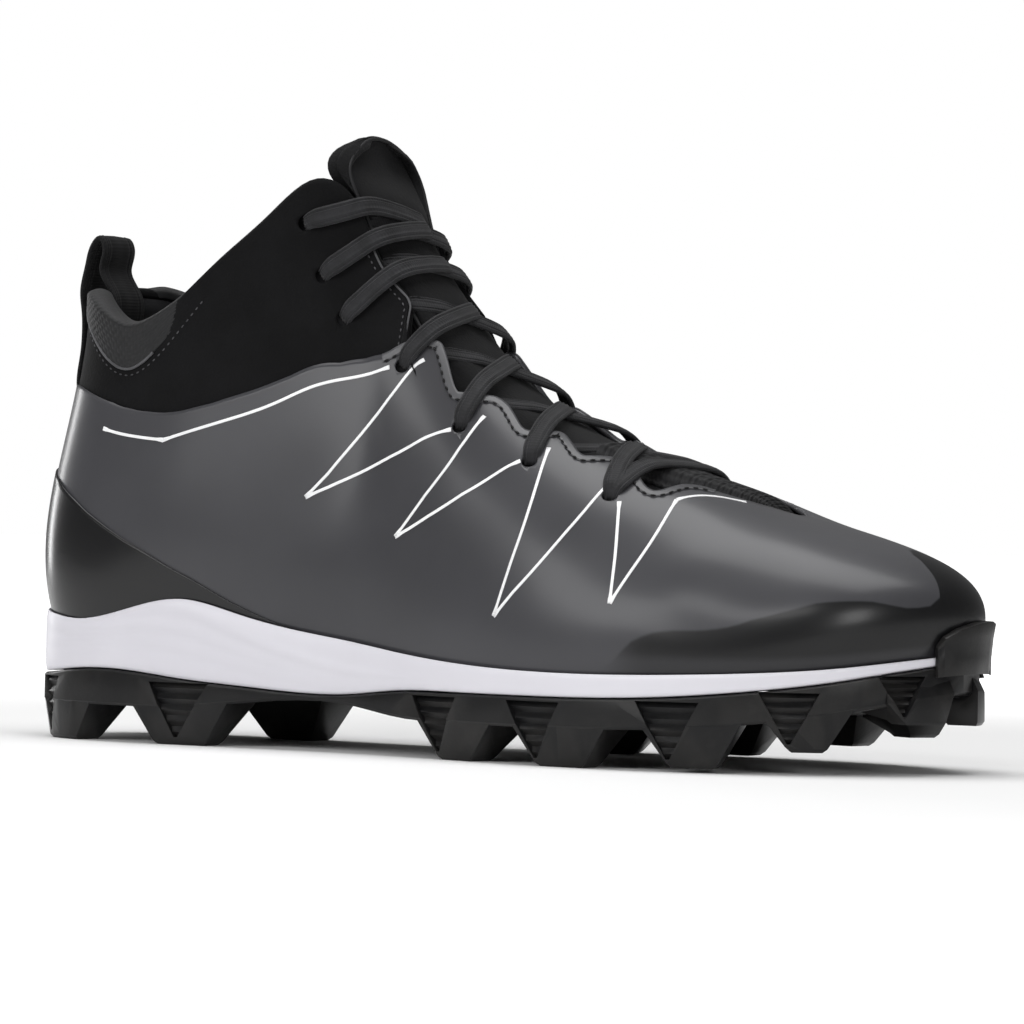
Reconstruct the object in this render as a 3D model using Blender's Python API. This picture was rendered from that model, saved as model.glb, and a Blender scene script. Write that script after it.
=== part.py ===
"""An american football cleat: a right shoe, mid cut, standing empty on its moulded studs.

The shoe is laid out in millimetres from the back of its heel: X runs to the toe, Y to the
inner side of the foot, Z up from the ground. ORIGIN then moves it onto the middle of its foot.
"""

import math

import bmesh
import bpy
import numpy as np

MM = 0.001
ORIGIN = (148.4, 0.25, 0.0)

# One row per station of the foot, from the back of the heel to the tip of the toe. The first
# three columns are the outline of the sole. The next five say where the upper ends above that
# station, on the collar or along the throat. The last four bend the upper between the two.
STATIONS = (
    ("along", "outer", "inner", "top_along", "top_mid", "top_half", "top", "inner_top",
     "lean", "rise", "out", "drop"),
    (0.0, 0.0, 0.0, 11.5, 0.0, 0.0, 131.0, 0.0, 9.2, 30.0, 0.0, 36.0),
    (3.5, -14.0, 14.0, 13.5, 0.0, 10.0, 130.5, 1.0, 9.0, 30.0, 0.0, 36.0),
    (12.0, -25.5, 25.5, 19.5, 0.0, 19.0, 128.5, 2.5, 7.5, 29.0, 0.5, 36.0),
    (27.0, -32.5, 32.5, 28.5, 0.0, 25.0, 123.5, 4.5, 5.5, 26.0, 1.5, 36.0),
    (45.0, -35.0, 34.5, 41.0, 0.0, 28.5, 119.0, 5.0, 5.0, 26.0, 2.0, 36.0),
    (64.0, -35.5, 34.0, 56.0, 0.0, 30.0, 126.0, 5.0, 5.0, 26.0, 2.0, 38.0),
    (83.0, -34.8, 31.5, 71.0, 0.0, 29.5, 138.5, 5.0, 5.0, 28.0, 2.5, 42.0),
    (100.0, -34.3, 29.5, 86.0, 0.0, 28.0, 150.5, 3.0, 5.0, 30.0, 3.0, 46.0),
    (115.0, -34.8, 29.0, 100.0, 0.0, 24.5, 160.5, 0.0, 5.0, 32.0, 4.0, 50.0),
    (127.0, -36.3, 31.0, 110.5, 0.0, 20.5, 155.5, -2.0, 5.0, 33.0, 6.0, 46.0),
    (139.0, -38.9, 34.5, 118.6, 0.2, 20.0, 141.6, -2.0, 4.5, 34.0, 9.0, 34.0),
    (152.0, -42.3, 39.0, 128.8, 0.4, 20.0, 128.8, -2.0, 4.0, 34.0, 11.0, 24.0),
    (166.0, -46.0, 43.5, 141.8, 0.6, 20.0, 114.6, -2.0, 4.0, 33.0, 13.0, 16.0),
    (182.0, -49.3, 48.0, 158.6, 0.8, 20.0, 101.6, -2.0, 4.0, 31.0, 15.0, 9.0),
    (200.0, -51.2, 51.0, 177.4, 1.0, 19.3, 91.6, -1.5, 4.5, 28.0, 17.0, 6.0),
    (219.0, -50.6, 51.8, 197.4, 1.2, 17.8, 83.9, -1.0, 5.0, 25.0, 18.0, 4.5),
    (238.0, -47.0, 50.0, 217.5, 1.6, 14.6, 77.4, -0.5, 5.5, 22.0, 19.0, 4.5),
    (256.0, -40.2, 45.5, 232.5, 2.0, 10.2, 72.6, 0.0, 7.2, 20.0, 24.0, 6.8),
    (272.0, -29.5, 37.3, 239.5, 2.3, 6.6, 70.2, 0.0, 9.2, 20.5, 32.0, 9.0),
    (285.0, -14.5, 26.0, 242.8, 2.6, 3.3, 69.0, 0.0, 10.6, 21.0, 38.5, 10.0),
    (292.6, 8.0, 8.0, 243.8, 2.8, 0.0, 68.8, 0.0, 11.0, 21.0, 42.0, 10.4),
)
LAST = len(STATIONS) - 2
LAP = 2 * LAST

# Heights of the sole's side, from the ground: the foot of the outsole's wall, the line where
# the outsole ends and the midsole starts, and the midsole's upper edge.
LEVELS = (
    ("along", "wall_foot", "outsole_top", "rim"),
    (0.0, 10.6, 18.6, 38.0),
    (12.0, 10.6, 19.2, 36.6),
    (27.0, 10.6, 20.6, 35.2),
    (46.0, 10.6, 20.5, 38.8),
    (64.0, 10.8, 18.7, 41.8),
    (82.0, 12.6, 17.4, 38.2),
    (101.0, 14.2, 16.2, 34.2),
    (119.0, 13.9, 16.2, 31.7),
    (139.0, 11.0, 18.1, 28.9),
    (158.0, 10.4, 18.5, 27.0),
    (188.0, 10.4, 18.6, 25.6),
    (213.0, 10.8, 19.0, 25.6),
    (235.0, 11.8, 20.3, 26.3),
    (254.0, 13.8, 22.3, 27.3),
    (271.0, 16.6, 25.0, 28.9),
    (285.0, 20.0, 28.4, 31.3),
    (295.0, 22.6, 30.8, 33.4),
)

# The studs, from heel to toe. "apex" and "inner_apex" are where the ribbed notch ends on the
# outer and the inner side, and the other places are measured from it along the edge of the sole,
# towards the toe. "points" is how many points follow the sole's curve along one face.
STUDS = (
    ("apex", "inner_apex", "ground", "inner_ground", "lean", "tip_from", "tip_to",
     "root_from", "root_to", "notch_from", "notch_to", "points"),
    (12.0, 15.5, 0.0, 0.0, 1.6, -1.5, 15.0, -6.0, 22.0, -8.0, 7.5, 5),
    (62.0, 65.0, 0.0, 0.0, 2.4, -7.5, 10.0, -14.0, 18.5, -8.0, 12.0, 3),
    (153.5, 160.0, 0.0, 0.0, 2.4, 0.0, 12.5, -7.0, 21.5, -8.5, 8.5, 3),
    (189.0, 193.0, 0.0, 0.8, 2.4, 0.0, 15.5, -7.0, 23.0, -9.0, 8.8, 3),
    (229.5, 231.5, 1.2, 5.0, 2.4, 0.0, 13.5, -7.0, 20.5, -9.0, 8.8, 3),
    (260.5, 260.5, 6.2, 8.5, 2.0, 0.0, 10.5, -6.5, 17.5, -8.5, 8.0, 4),
    (283.5, 289.0, 14.0, 13.5, -1.2, 0.0, 13.0, -5.0, 16.0, -7.5, 7.0, 5),
)

GAP = 0.35
FLAT = 1.0
OUTSOLE_PROUD = 0.5
SEAT_INSET = 2.0
SEAT_DEPTH = 1.6
WALL = 2.2
SKIN = 0.7
PADDING = 3.4
STUD_DEPTH = 9.5
STUD_ROOT_DEPTH = 17.0
RIBS = 5
RIB_GROOVE = 2.2
RIB_CREST = 1.1
NOTCH_FLOOR = 2.2
BED_INSET = 8.0
EYELET_RADIUS = 2.3
LACE_WIDE = 6.0
LACE_THICK = 1.5
LOOP_WIDE = 16.0
LOOP_THICK = 1.8
LOOP_TOP = 147.0
INSOLE_THICK = 3.6
TONGUE_THICK = 3.6
CROWN = 0.78
CROWN_AT_COLLAR = 0.98
TONGUE_CLIMB = (-0.28, 0.0, 1.0)

# The toe guard: its middle and half width in stations, and its height at the edges and what it
# rises over that in the middle, as shares of the upper's height.
GUARD = (
    ("middle", "half", "edge", "climb"),
    (20.16, 0.86, 0.08, 0.115),
)

# Stations that the tongue passes under the throat, from the vamp to the collar.
TONGUE_FOOT = (
    ("station",),
    (18.2,), (17.5,), (16.75,), (16.0,), (15.0,), (14.0,), (13.0,), (12.25,), (11.5,), (11.0,),
    (10.5,), (10.0,), (9.7,),
)

# The tongue's free end above the lacing: how far each section has risen and gone back, and its
# size front to back, across and up, as shares of the section where it leaves the throat.
TONGUE_TOP = (
    ("rise", "back", "deep", "wide", "tall"),
    (7.0, 0.0, 1.0, 0.86, 0.8),
    (12.5, 1.0, 1.0, 0.84, 0.5),
    (17.0, 3.5, 1.05, 1.4, 0.3),
    (20.5, 3.8, 1.0, 1.34, 0.28),
    (24.0, 2.0, 0.95, 1.06, 0.25),
    (27.5, 0.0, 0.8, 0.6, 0.2),
)

# Rows of eyelets from toe to collar: the place of the hole as a station and a share of the
# side's height, and the station where its lace crosses the throat's edge.
EYELETS = (
    ("station", "height", "edge"),
    (14.76, 0.685, 15.3),
    (13.44, 0.700, 13.9),
    (12.08, 0.690, 12.6),
    (10.50, 0.735, 11.4),
    (8.60, 0.750, 10.5),
    (8.12, 0.830, 9.9),
    (7.85, 0.930, 9.4),
)

# The edge of the upper as a share of the side's height: whole round the collar, then cut into
# tabs along the throat, a row per corner.
EDGE = (
    ("station", "height"),
    (0.0, 1.0),
    (9.0, 1.0),
    (9.6, 0.985),
    (10.02, 0.99),
    (10.2, 0.84),
    (11.1, 0.99),
    (11.25, 0.83),
    (11.78, 0.957),
    (12.02, 0.79),
    (13.02, 0.95),
    (13.36, 0.813),
    (14.08, 0.947),
    (14.22, 0.817),
    (15.04, 0.937),
    (15.34, 0.77),
    (15.88, 0.905),
    (16.8, 0.97),
    (17.88, 1.0),
    (20.0, 1.0),
)

# The line where the coated quarter ends and the cuff starts, as a share of the side's height.
CUFF = (
    ("station", "height"),
    (0.0, 0.725),
    (2.0, 0.745),
    (3.5, 0.775),
    (4.4, 0.74),
    (5.1, 0.685),
    (6.0, 0.66),
    (7.4, 0.643),
    (8.5, 0.65),
    (10.0, 0.735),
    (10.6, 0.77),
    (11.2, 0.76),
    (12.2, 0.70),
    (14.0, 0.69),
    (17.0, 0.74),
    (20.0, 0.76),
)


def column(table, name):
    """The values of one named column of a table."""
    place = table[0].index(name)
    return np.array([row[place] for row in table[1:]], float)


def spline(keys, values, at):
    """Values at the places `at` of the natural cubic curve through the given rows."""
    gap = np.diff(keys)
    slope = np.diff(values) / gap
    size = len(keys)
    system = np.eye(size)
    force = np.zeros(size)
    for i in range(1, size - 1):
        system[i, i - 1 : i + 2] = gap[i - 1], 2 * (gap[i - 1] + gap[i]), gap[i]
        force[i] = 6 * (slope[i] - slope[i - 1])
    bend = np.linalg.solve(system, force)
    i = np.clip(np.searchsorted(keys, at, side="right") - 1, 0, size - 2)
    a = (keys[i + 1] - at) / gap[i]
    b = 1 - a
    curve = (a**3 - a) * bend[i] + (b**3 - b) * bend[i + 1]
    return a * values[i] + b * values[i + 1] + curve * gap[i] ** 2 / 6


def level(name, along):
    """Height of one of the sole's lines at a distance from the heel."""
    return spline(column(LEVELS, "along"), column(LEVELS, name), along)


class Ring:
    """A closed curve of values round the foot: out along the outer side, back on the inner."""

    def __init__(self, outer, inner):
        loop = np.concatenate([outer, inner[-2:0:-1]])
        self.values = np.concatenate([loop[-4:], loop, loop[:5]])

    @staticmethod
    def keys():
        """Distance round the sole's outline at each station, four of them either side."""
        along = column(STATIONS, "along")
        x = Ring(along, along).values
        y = Ring(column(STATIONS, "outer"), column(STATIONS, "inner")).values
        run = np.concatenate([[0.0], np.cumsum(np.hypot(np.diff(x), np.diff(y)))])
        return run - run[4]

    def at(self, station):
        """Values at stations, counted in rows: 0 the heel, LAST the toe, LAP the heel again."""
        numbers = np.arange(-4, LAP + 5)
        return spline(KEYS, self.values, np.interp(station, numbers, KEYS))


def mirrored(name):
    """Ring of a column that has the same value on both sides."""
    return Ring(column(STATIONS, name), column(STATIONS, name))


KEYS = Ring.keys()
SOLE_X = mirrored("along")
SOLE_Y = Ring(column(STATIONS, "outer"), column(STATIONS, "inner"))
TOP_X = mirrored("top_along")
TOP_Y = Ring(
    column(STATIONS, "top_mid") - column(STATIONS, "top_half"),
    column(STATIONS, "top_mid") + column(STATIONS, "top_half"),
)
TOP_Z = Ring(column(STATIONS, "top"), column(STATIONS, "top") + column(STATIONS, "inner_top"))
BENDS = [mirrored(name) for name in ("lean", "rise", "out", "drop")]


def outline(station, offset):
    """Points (x, y) of the sole's outline, moved outwards by an offset."""
    x, y = SOLE_X.at(station), SOLE_Y.at(station)
    dx = SOLE_X.at(station + 0.01) - SOLE_X.at(station - 0.01)
    dy = SOLE_Y.at(station + 0.01) - SOLE_Y.at(station - 0.01)
    size = np.hypot(dx, dy)
    return x + offset * dy / size, y - offset * dx / size


def last_point(station, height):
    """Points of the last's side: height 0 at the sole and 1 on the collar or throat line."""
    lean, rise, out, drop = (bend.at(station) for bend in BENDS)
    x0, y0 = outline(station, -SEAT_INSET - SKIN)
    z0 = level("rim", x0) - SEAT_DEPTH + 2 * GAP
    x3, y3, z3 = TOP_X.at(station), TOP_Y.at(station), TOP_Z.at(station)
    x1, y1 = outline(station, -SEAT_INSET - SKIN + lean)
    reach = np.hypot(x0 - x3, y0 - y3)
    x2, y2 = x3 + out * (x0 - x3) / reach, y3 + out * (y0 - y3) / reach
    rest = 1 - height
    a, b, c, d = rest**3, 3 * height * rest**2, 3 * height**2 * rest, height**3
    x = a * x0 + b * x1 + c * x2 + d * x3
    y = a * y0 + b * y1 + c * y2 + d * y3
    z = a * z0 + b * (z0 + rise) + c * (z3 - drop) + d * z3
    return np.stack([x, y, z], axis=-1)


def facing(surface, u, v, step_u, step_v):
    """Outward unit normals of a surface of two numbers."""
    across_u = surface(u + step_u, v) - surface(u - step_u, v)
    across_v = surface(u, v + step_v) - surface(u, v - step_v)
    normal = np.cross(across_u, across_v)
    return normal / np.linalg.norm(normal, axis=-1, keepdims=True)


def upper_point(station, height, offset):
    """Points of the last's side, moved outwards by an offset."""
    station, height = np.broadcast_arrays(np.asarray(station, float), np.asarray(height, float))
    normal = facing(last_point, station, height, 0.05, 0.01)
    return last_point(station, height) + normal * np.asarray(offset)[..., None]


def blend(low, high, value):
    """Smooth step from 0 at low to 1 at high."""
    share = np.clip((value - low) / (high - low), 0, 1)
    return share * share * (3 - 2 * share)


def side_station(station):
    """The same station counted on the outer side, whichever side it is on."""
    return np.where(station > LAST, LAP - station, station)


def cuff_line(station):
    """Height, as a share of the side, where the coated quarter ends and the cuff begins."""
    return spline(column(CUFF, "station"), column(CUFF, "height"), side_station(station))


def edge_height(station):
    """Height, as a share of the side, of the edge: notched into tabs along the throat."""
    return np.interp(side_station(station), column(EDGE, "station"), column(EDGE, "height"))


def padding(station, height):
    """Extra thickness of the collar's padding, which swells to the inside."""
    row = side_station(station)
    along = blend(0.3, 1.8, row) * 0.75 + 0.25 - blend(6.6, 8.8, row)
    return PADDING * along * blend(0.62, 0.9, height)


def rings_solid(name, rings, closed):
    """A mesh object from rings of points. Closed rings join last to first, others are capped."""
    count = len(rings[0])
    mesh = bmesh.new()
    rows = [[mesh.verts.new(np.asarray(p) * MM) for p in ring] for ring in rings]
    pairs = list(zip(rows, rows[1:]))
    if closed:
        pairs.append((rows[-1], rows[0]))
    for low, high in pairs:
        for i in range(count):
            j = (i + 1) % count
            mesh.faces.new((low[i], low[j], high[j], high[i]))
    if not closed:
        for i in range(count // 2 - 1):
            a, b = i, i + 1
            c, d = count - 2 - i, count - 1 - i
            mesh.faces.new((rows[0][d], rows[0][c], rows[0][b], rows[0][a]))
            mesh.faces.new((rows[-1][a], rows[-1][b], rows[-1][c], rows[-1][d]))
    bmesh.ops.triangulate(mesh, faces=mesh.faces[:])
    bmesh.ops.recalc_face_normals(mesh, faces=mesh.faces[:])
    data = bpy.data.meshes.new(name)
    mesh.to_mesh(data)
    mesh.free()
    part = bpy.data.objects.new(name, data)
    bpy.context.scene.collection.objects.link(part)
    return part


def combine(part, others, operation):
    """Joins or cuts a part with others, which are used up."""
    for other in others:
        modifier = part.modifiers.new(other.name, "BOOLEAN")
        modifier.operation = operation
        modifier.solver = "EXACT"
        modifier.object = other
        result = part.evaluated_get(bpy.context.evaluated_depsgraph_get())
        data = bpy.data.meshes.new_from_object(result)
        part.modifiers.clear()
        part.data = data
        bpy.data.objects.remove(other)
    tidy(part)


def tidy(part):
    """Joins the flat faces that a Boolean has split, and cuts the result into triangles."""
    mesh = bmesh.new()
    mesh.from_mesh(part.data)
    bmesh.ops.dissolve_limit(
        mesh, angle_limit=math.radians(FLAT), verts=mesh.verts[:], edges=mesh.edges[:]
    )
    bmesh.ops.triangulate(mesh, faces=mesh.faces[:])
    mesh.to_mesh(part.data)
    mesh.free()


def sole_ring(stations, offset, height):
    """One ring of a sole piece: an outline moved by an offset, at heights over the ground."""
    x, y = outline(stations, offset)
    return np.stack([x, y, np.broadcast_to(height, x.shape)], axis=-1)


def level_ring(stations, offset, line, lift):
    """One ring of a sole piece that keeps a lift from one of the sole's lines, or the ground."""
    x, y = outline(stations, offset)
    base = level(line, x) if line else np.zeros_like(x)
    return np.stack([x, y, base + lift], axis=-1)


def sole_stations(step):
    """Stations round the sole, even about both tips so that each has a partner across."""
    return np.arange(step / 2, LAP, step)


def make_outsole():
    """The black rubber plate with its wall, moulded studs, ribbed notches and toe guard."""
    stations = sole_stations(0.5)
    part = rings_solid(
        "outsole",
        [
            level_ring(stations, -6.0, "wall_foot", 1.2),
            level_ring(stations, -3.0, "wall_foot", 0.0),
            level_ring(stations, OUTSOLE_PROUD - 0.7, "wall_foot", 0.0),
            level_ring(stations, OUTSOLE_PROUD, "wall_foot", 0.8),
            level_ring(stations, OUTSOLE_PROUD, "outsole_top", -0.6),
            level_ring(stations, OUTSOLE_PROUD - 0.6, "outsole_top", 0.0),
            level_ring(stations, -BED_INSET, "outsole_top", 0.0),
        ],
        closed=False,
    )
    studs, notches = [], []
    for number, row in enumerate(STUDS[1:], 1):
        stud = dict(zip(STUDS[0], row))
        mate = {**stud, "apex": stud["inner_apex"], "ground": stud["inner_ground"]}
        for side, sizes in (("outer", stud), ("inner", mate)):
            studs.append(make_stud(f"stud_{side}_{number}", sizes, side))
            notches.append(make_notch(f"notch_{side}_{number}", sizes, side))
    combine(part, [*studs, make_toe_guard()], "UNION")
    combine(part, notches, "DIFFERENCE")
    return part


def edge_place(apex, run, side):
    """Station reached by going a run of millimetres along the sole's edge from an apex."""
    half = np.linspace(0, LAST, 40 * LAST + 1)
    walk = half if side == "outer" else LAP - half
    x, y = SOLE_X.at(walk), SOLE_Y.at(walk)
    gone = np.concatenate([[0.0], np.cumsum(np.hypot(np.diff(x), np.diff(y)))])
    start = np.interp(apex, x, gone)
    past = np.interp(start + run, gone, half)
    return past if side == "outer" else LAP - past


def make_stud(name, stud, side):
    """One moulded stud: wide where it leaves the wall, narrow and bevelled at the ground."""
    tip, root = (stud["tip_from"], stud["tip_to"]), (stud["root_from"], stud["root_to"])
    ground = stud["ground"]
    rings = []
    for line, lift, reach, lean, depth, trim in (
        (None, ground, tip, stud["lean"] + 0.7, STUD_DEPTH - 1.4, 1.0),
        (None, ground + 1.0, tip, stud["lean"], STUD_DEPTH, -0.3),
        ("wall_foot", 0.6, root, min(0.3, stud["lean"]), STUD_ROOT_DEPTH, 0.0),
        ("outsole_top", -1.4, root, 1.6, STUD_ROOT_DEPTH - 3.0, 0.5),
    ):
        runs = np.linspace(reach[0] + trim, reach[1] - trim, stud["points"])
        places = edge_place(stud["apex"], runs, side)
        near = level_ring(places, OUTSOLE_PROUD - lean, line, lift)
        far = level_ring(places, OUTSOLE_PROUD - lean - depth, line, lift)
        rings.append(np.concatenate([near, far[::-1]]))
    return rings_solid(name, rings, closed=False)


def make_notch(name, stud, side):
    """Cutter for the ribbed notch: an upturned triangle with level ribs in its floor."""
    centre = stud["apex"]
    foot = level("wall_foot", centre)
    top = level("outsole_top", centre) - 1.0
    low = stud["ground"] + NOTCH_FLOOR
    rings = []
    for step in range(2 * RIBS + 1):
        share = step / (2 * RIBS)
        height = low + share * (top - low)
        slant = stud["lean"] * np.clip((foot - height) / (foot - stud["ground"]), 0, 1)
        depth = slant + (RIB_GROOVE if step % 2 == 0 else RIB_CREST)
        runs = np.array([stud["notch_from"], stud["notch_to"]]) * (0.06 + 0.94 * share)
        places = edge_place(centre, runs, side)
        near = sole_ring(places, OUTSOLE_PROUD - depth, height)
        far = sole_ring(places, OUTSOLE_PROUD + 3.0, height)
        rings.append(np.concatenate([near, far[::-1]]))
    return rings_solid(name, rings, closed=False)


def make_toe_guard():
    """The rounded tab of the outsole that climbs over the tip of the toe."""
    angles = np.linspace(-math.pi / 2, math.pi / 2, 9)
    guard = dict(zip(*GUARD))
    places = guard["middle"] + guard["half"] * np.sin(angles)
    climb = guard["edge"] + guard["climb"] * np.cos(angles)
    thick = 1.2 + 1.5 * np.cos(angles)
    x, y = outline(places, 0.0)
    base, rim = level("outsole_top", x), level("rim", x)
    sheets = []
    for lift in (SKIN + GAP, SKIN + GAP + thick):
        skirt = lift - SKIN + 0.25
        low = np.array([sole_ring(p, d, z) for p, d, z in np.broadcast(places, skirt, base - 2.5)])
        edge = np.array([sole_ring(p, d, z) for p, d, z in np.broadcast(places, skirt, rim - 0.5)])
        middle = upper_point(places, 0.03 + 0.5 * climb, lift * np.ones(9))
        high = upper_point(places, climb, lift * np.ones(9))
        sheets.append((low, edge, middle, high))
    inner, outer = sheets
    rings = []
    for i in range(9):
        out_side = [sheet[i] for sheet in outer]
        in_side = [sheet[i] for sheet in inner]
        rings.append(np.array(out_side + in_side[::-1]))
    return rings_solid("toe_guard", rings, closed=False)


def make_midsole():
    """The white foam midsole: a side wall, a lip round the upper and a sunken bed."""
    stations = sole_stations(0.5)
    along = SOLE_X.at(stations)
    low, rim = level("outsole_top", along) + GAP, level("rim", along)
    middle = low + 0.45 * (rim - low)
    return rings_solid(
        "midsole",
        [
            level_ring(stations, -BED_INSET, "outsole_top", GAP),
            level_ring(stations, -0.9, "outsole_top", GAP),
            level_ring(stations, -0.2, "outsole_top", GAP + 0.6),
            sole_ring(stations, 0.25, middle),
            level_ring(stations, -0.2, "rim", -0.5),
            level_ring(stations, -0.5, "rim", 0.0),
            level_ring(stations, -0.8, "rim", 0.0),
            level_ring(stations, -1.0, "rim", -SEAT_DEPTH),
            level_ring(stations, -BED_INSET - 1.0, "rim", -SEAT_DEPTH),
        ],
        closed=False,
    )


def make_insole():
    """The loose footbed inside the upper."""
    stations = sole_stations(0.5)
    inset = SEAT_INSET + SKIN + WALL
    base = 2 * GAP - SEAT_DEPTH
    return rings_solid(
        "insole",
        [
            level_ring(stations, -inset - 0.8, "rim", base),
            level_ring(stations, -inset - 0.8, "rim", base + INSOLE_THICK - 1.0),
            level_ring(stations, -inset - 1.8, "rim", base + INSOLE_THICK),
        ],
        closed=False,
    )


def upper_stations():
    """Stations of the upper's columns: close together where the throat is cut into tabs."""
    corners = column(EDGE, "station")
    throat = corners[(corners > 9.5) & (corners < 17.0)]
    between = (throat[1:] + throat[:-1]) / 2
    between = between[np.diff(throat) > 0.4]
    heel = [0.0, 0.5, 1.0, 1.5, 2.0, 2.5, 3.0, 3.5, 4.0, 4.75, 5.5, 6.25, 7.0, 7.5, 8.0, 8.5, 9.0]
    toe = [17.4, 17.88, 18.4, 18.8, 19.2, 19.6]
    half = np.sort(np.concatenate([heel, throat, between, toe]))
    return np.concatenate([half, [LAST], LAP - half[:0:-1]])


def make_upper():
    """The hollow upper: outer skin with a step at the cuff, rim, padded inside, open below."""
    stations = upper_stations()
    edge, cuff = edge_height(stations), cuff_line(stations)
    skin = SKIN * np.ones_like(stations)
    bare = SKIN * blend(11.1, 11.3, side_station(stations))
    rings = []
    for share in (0.0, 0.08, 0.2, 0.36, 0.54, 0.76, 1.0):
        rings.append(upper_point(stations, share * cuff, skin))
    for share in (0.06, 0.5, 1.0):
        height = cuff + share * (edge - cuff)
        rings.append(upper_point(stations, height, bare))
    thick = WALL + padding(stations, edge)
    lip = upper_point(stations, edge + 0.008, -0.5 * thick)
    rings.append(lip)
    for share in (1.0, 0.84, 0.6, 0.3, 0.0):
        height = share * edge
        rings.append(upper_point(stations, height, -(WALL + padding(stations, height))))
    part = rings_solid("upper", rings, closed=True)
    combine(part, eyelet_cutters(), "DIFFERENCE")
    return part


def eyelet_places():
    """Station and height of each eyelet, toe end first, for the outer and the inner side."""
    rows = zip(column(EYELETS, "station"), column(EYELETS, "height"))
    return [((row, height), (LAP - row, height)) for row, height in rows]


def eyelet_cutters():
    """Round cutters for the punched eyelets, square to the upper."""
    cutters = []
    angles = np.linspace(0, 2 * math.pi, 10, endpoint=False)
    for number, pair in enumerate(eyelet_places(), 1):
        for side, (station, height) in zip(("outer", "inner"), pair):
            normal = facing(last_point, station, height, 0.05, 0.01)
            middle = last_point(station, height)
            first = np.cross(normal, (0.0, 0.0, 1.0))
            first /= np.linalg.norm(first)
            second = np.cross(normal, first)
            disc = EYELET_RADIUS * (
                np.cos(angles)[:, None] * first + np.sin(angles)[:, None] * second
            )
            rings = [middle + disc - 8 * normal, middle + disc + 5 * normal]
            cutters.append(rings_solid(f"eyelet_{side}_{number}", rings, closed=False))
    return cutters


def instep_point(station, across):
    """Points over the instep: across -1 and 1 are the throat's edges, beyond them the upper."""
    station, across = np.broadcast_arrays(np.asarray(station, float), np.asarray(across, float))
    outer = last_point(station, np.ones_like(station))
    inner = last_point(LAP - station, np.ones_like(station))
    rise_out = outer - last_point(station, np.full_like(station, 0.97))
    rise_in = inner - last_point(LAP - station, np.full_like(station, 0.97))
    crown = CROWN_AT_COLLAR + (CROWN - CROWN_AT_COLLAR) * blend(10.5, 13.0, station)[..., None]
    reach = np.linalg.norm(inner - outer, axis=-1, keepdims=True) * crown
    rise_out = rise_out / np.linalg.norm(rise_out, axis=-1, keepdims=True) * reach
    rise_in = rise_in / np.linalg.norm(rise_in, axis=-1, keepdims=True) * reach
    t = np.clip((across + 1) / 2, 0, 1)[..., None]
    bridge = (
        (2 * t**3 - 3 * t**2 + 1) * outer
        + (t**3 - 2 * t**2 + t) * rise_out
        + (3 * t**2 - 2 * t**3) * inner
        + (t**2 - t**3) * rise_in
    )
    beyond = 1 - 0.2 * (np.abs(across) - 1)
    far_out = last_point(station, np.minimum(beyond, 1))
    far_in = last_point(LAP - station, np.minimum(beyond, 1))
    across = across[..., None]
    return np.where(across < -1, far_out, np.where(across > 1, far_in, bridge))


def over_instep(station, across, lift):
    """Points over the instep, moved outwards by a lift."""
    station, across = np.broadcast_arrays(np.asarray(station, float), np.asarray(across, float))
    normal = facing(instep_point, station, across, 0.05, 0.02)
    return instep_point(station, across) + normal * np.asarray(lift)[..., None]


def make_tongue():
    """The padded tongue, under the throat from the vamp to well over the collar."""
    rings = []
    for station in column(TONGUE_FOOT, "station"):
        deep = WALL + GAP + 1.4 - 0.9 * blend(14.0, 17.0, station)
        across = np.linspace(-1.0, 1.0, 11) * (1.35 + 0.65 * blend(10.5, 12.5, station))
        top = over_instep(station, across, -deep)
        under = over_instep(station, across, -deep - TONGUE_THICK)
        rings.append(np.concatenate([top, under[::-1]]))
    climb = np.array(TONGUE_CLIMB)
    base = rings[-1]
    middle = base.mean(axis=0)
    for rise, back, deep, wide, tall in TONGUE_TOP[1:]:
        ring = middle + (base - middle) * (deep, wide, tall) + climb * rise
        rings.append(ring - (back, 0.0, 0.0))
    return rings_solid("tongue", rings, closed=False)


def lace_strand(name, start, end, lift, past):
    """A flat lace from one eyelet over the instep to another, ending a little past each.

    An end is (station of the eyelet, its place across, station where the lace meets the throat).
    """
    side = np.sign(start[1])
    first, last = abs(start[1]) + past, -abs(end[1]) - past
    run = np.array([first, (first + 1) / 2, 1.0, 0.4, -0.4, -1.0, (last - 1) / 2, last])
    across = run * side
    station = np.interp(-run, [-first, -1.0, 1.0, -last], [start[0], start[2], end[2], end[0]])
    path = over_instep(station, across, lift)
    normal = facing(instep_point, station, across, 0.05, 0.02)
    ahead = np.gradient(path, axis=0)
    side = np.cross(ahead, normal)
    side /= np.linalg.norm(side, axis=-1, keepdims=True)
    rings = []
    for point, wide, up in zip(path, side, normal):
        wide, up = 0.5 * LACE_WIDE * wide, 0.5 * LACE_THICK * up
        corners = [point - wide + up, point + wide + up, point + wide - up, point - wide - up]
        rings.append(np.array(corners))
    return rings_solid(name, rings, closed=False)


def make_laces():
    """The lacing: a bar at the toe end, then crossings up to the collar, joined in one."""
    reach = 1.0 + (1.0 - column(EYELETS, "height")) / 0.2
    rows = list(zip(column(EYELETS, "station"), reach, column(EYELETS, "edge")))
    outer = [(station, -across, edge) for station, across, edge in rows]
    clear = SKIN + GAP + 0.5 * LACE_THICK + 0.3
    part = lace_strand("laces", outer[0], rows[0], clear, 0.0)
    strands = []
    for i in range(len(rows) - 1):
        strands.append(lace_strand(f"lace_under_{i}", rows[i], outer[i + 1], clear, 0.03))
        strands.append(lace_strand(f"lace_over_{i}", outer[i], rows[i + 1], clear + 0.5, 0.12))
    combine(part, strands, "UNION")
    return part


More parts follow.
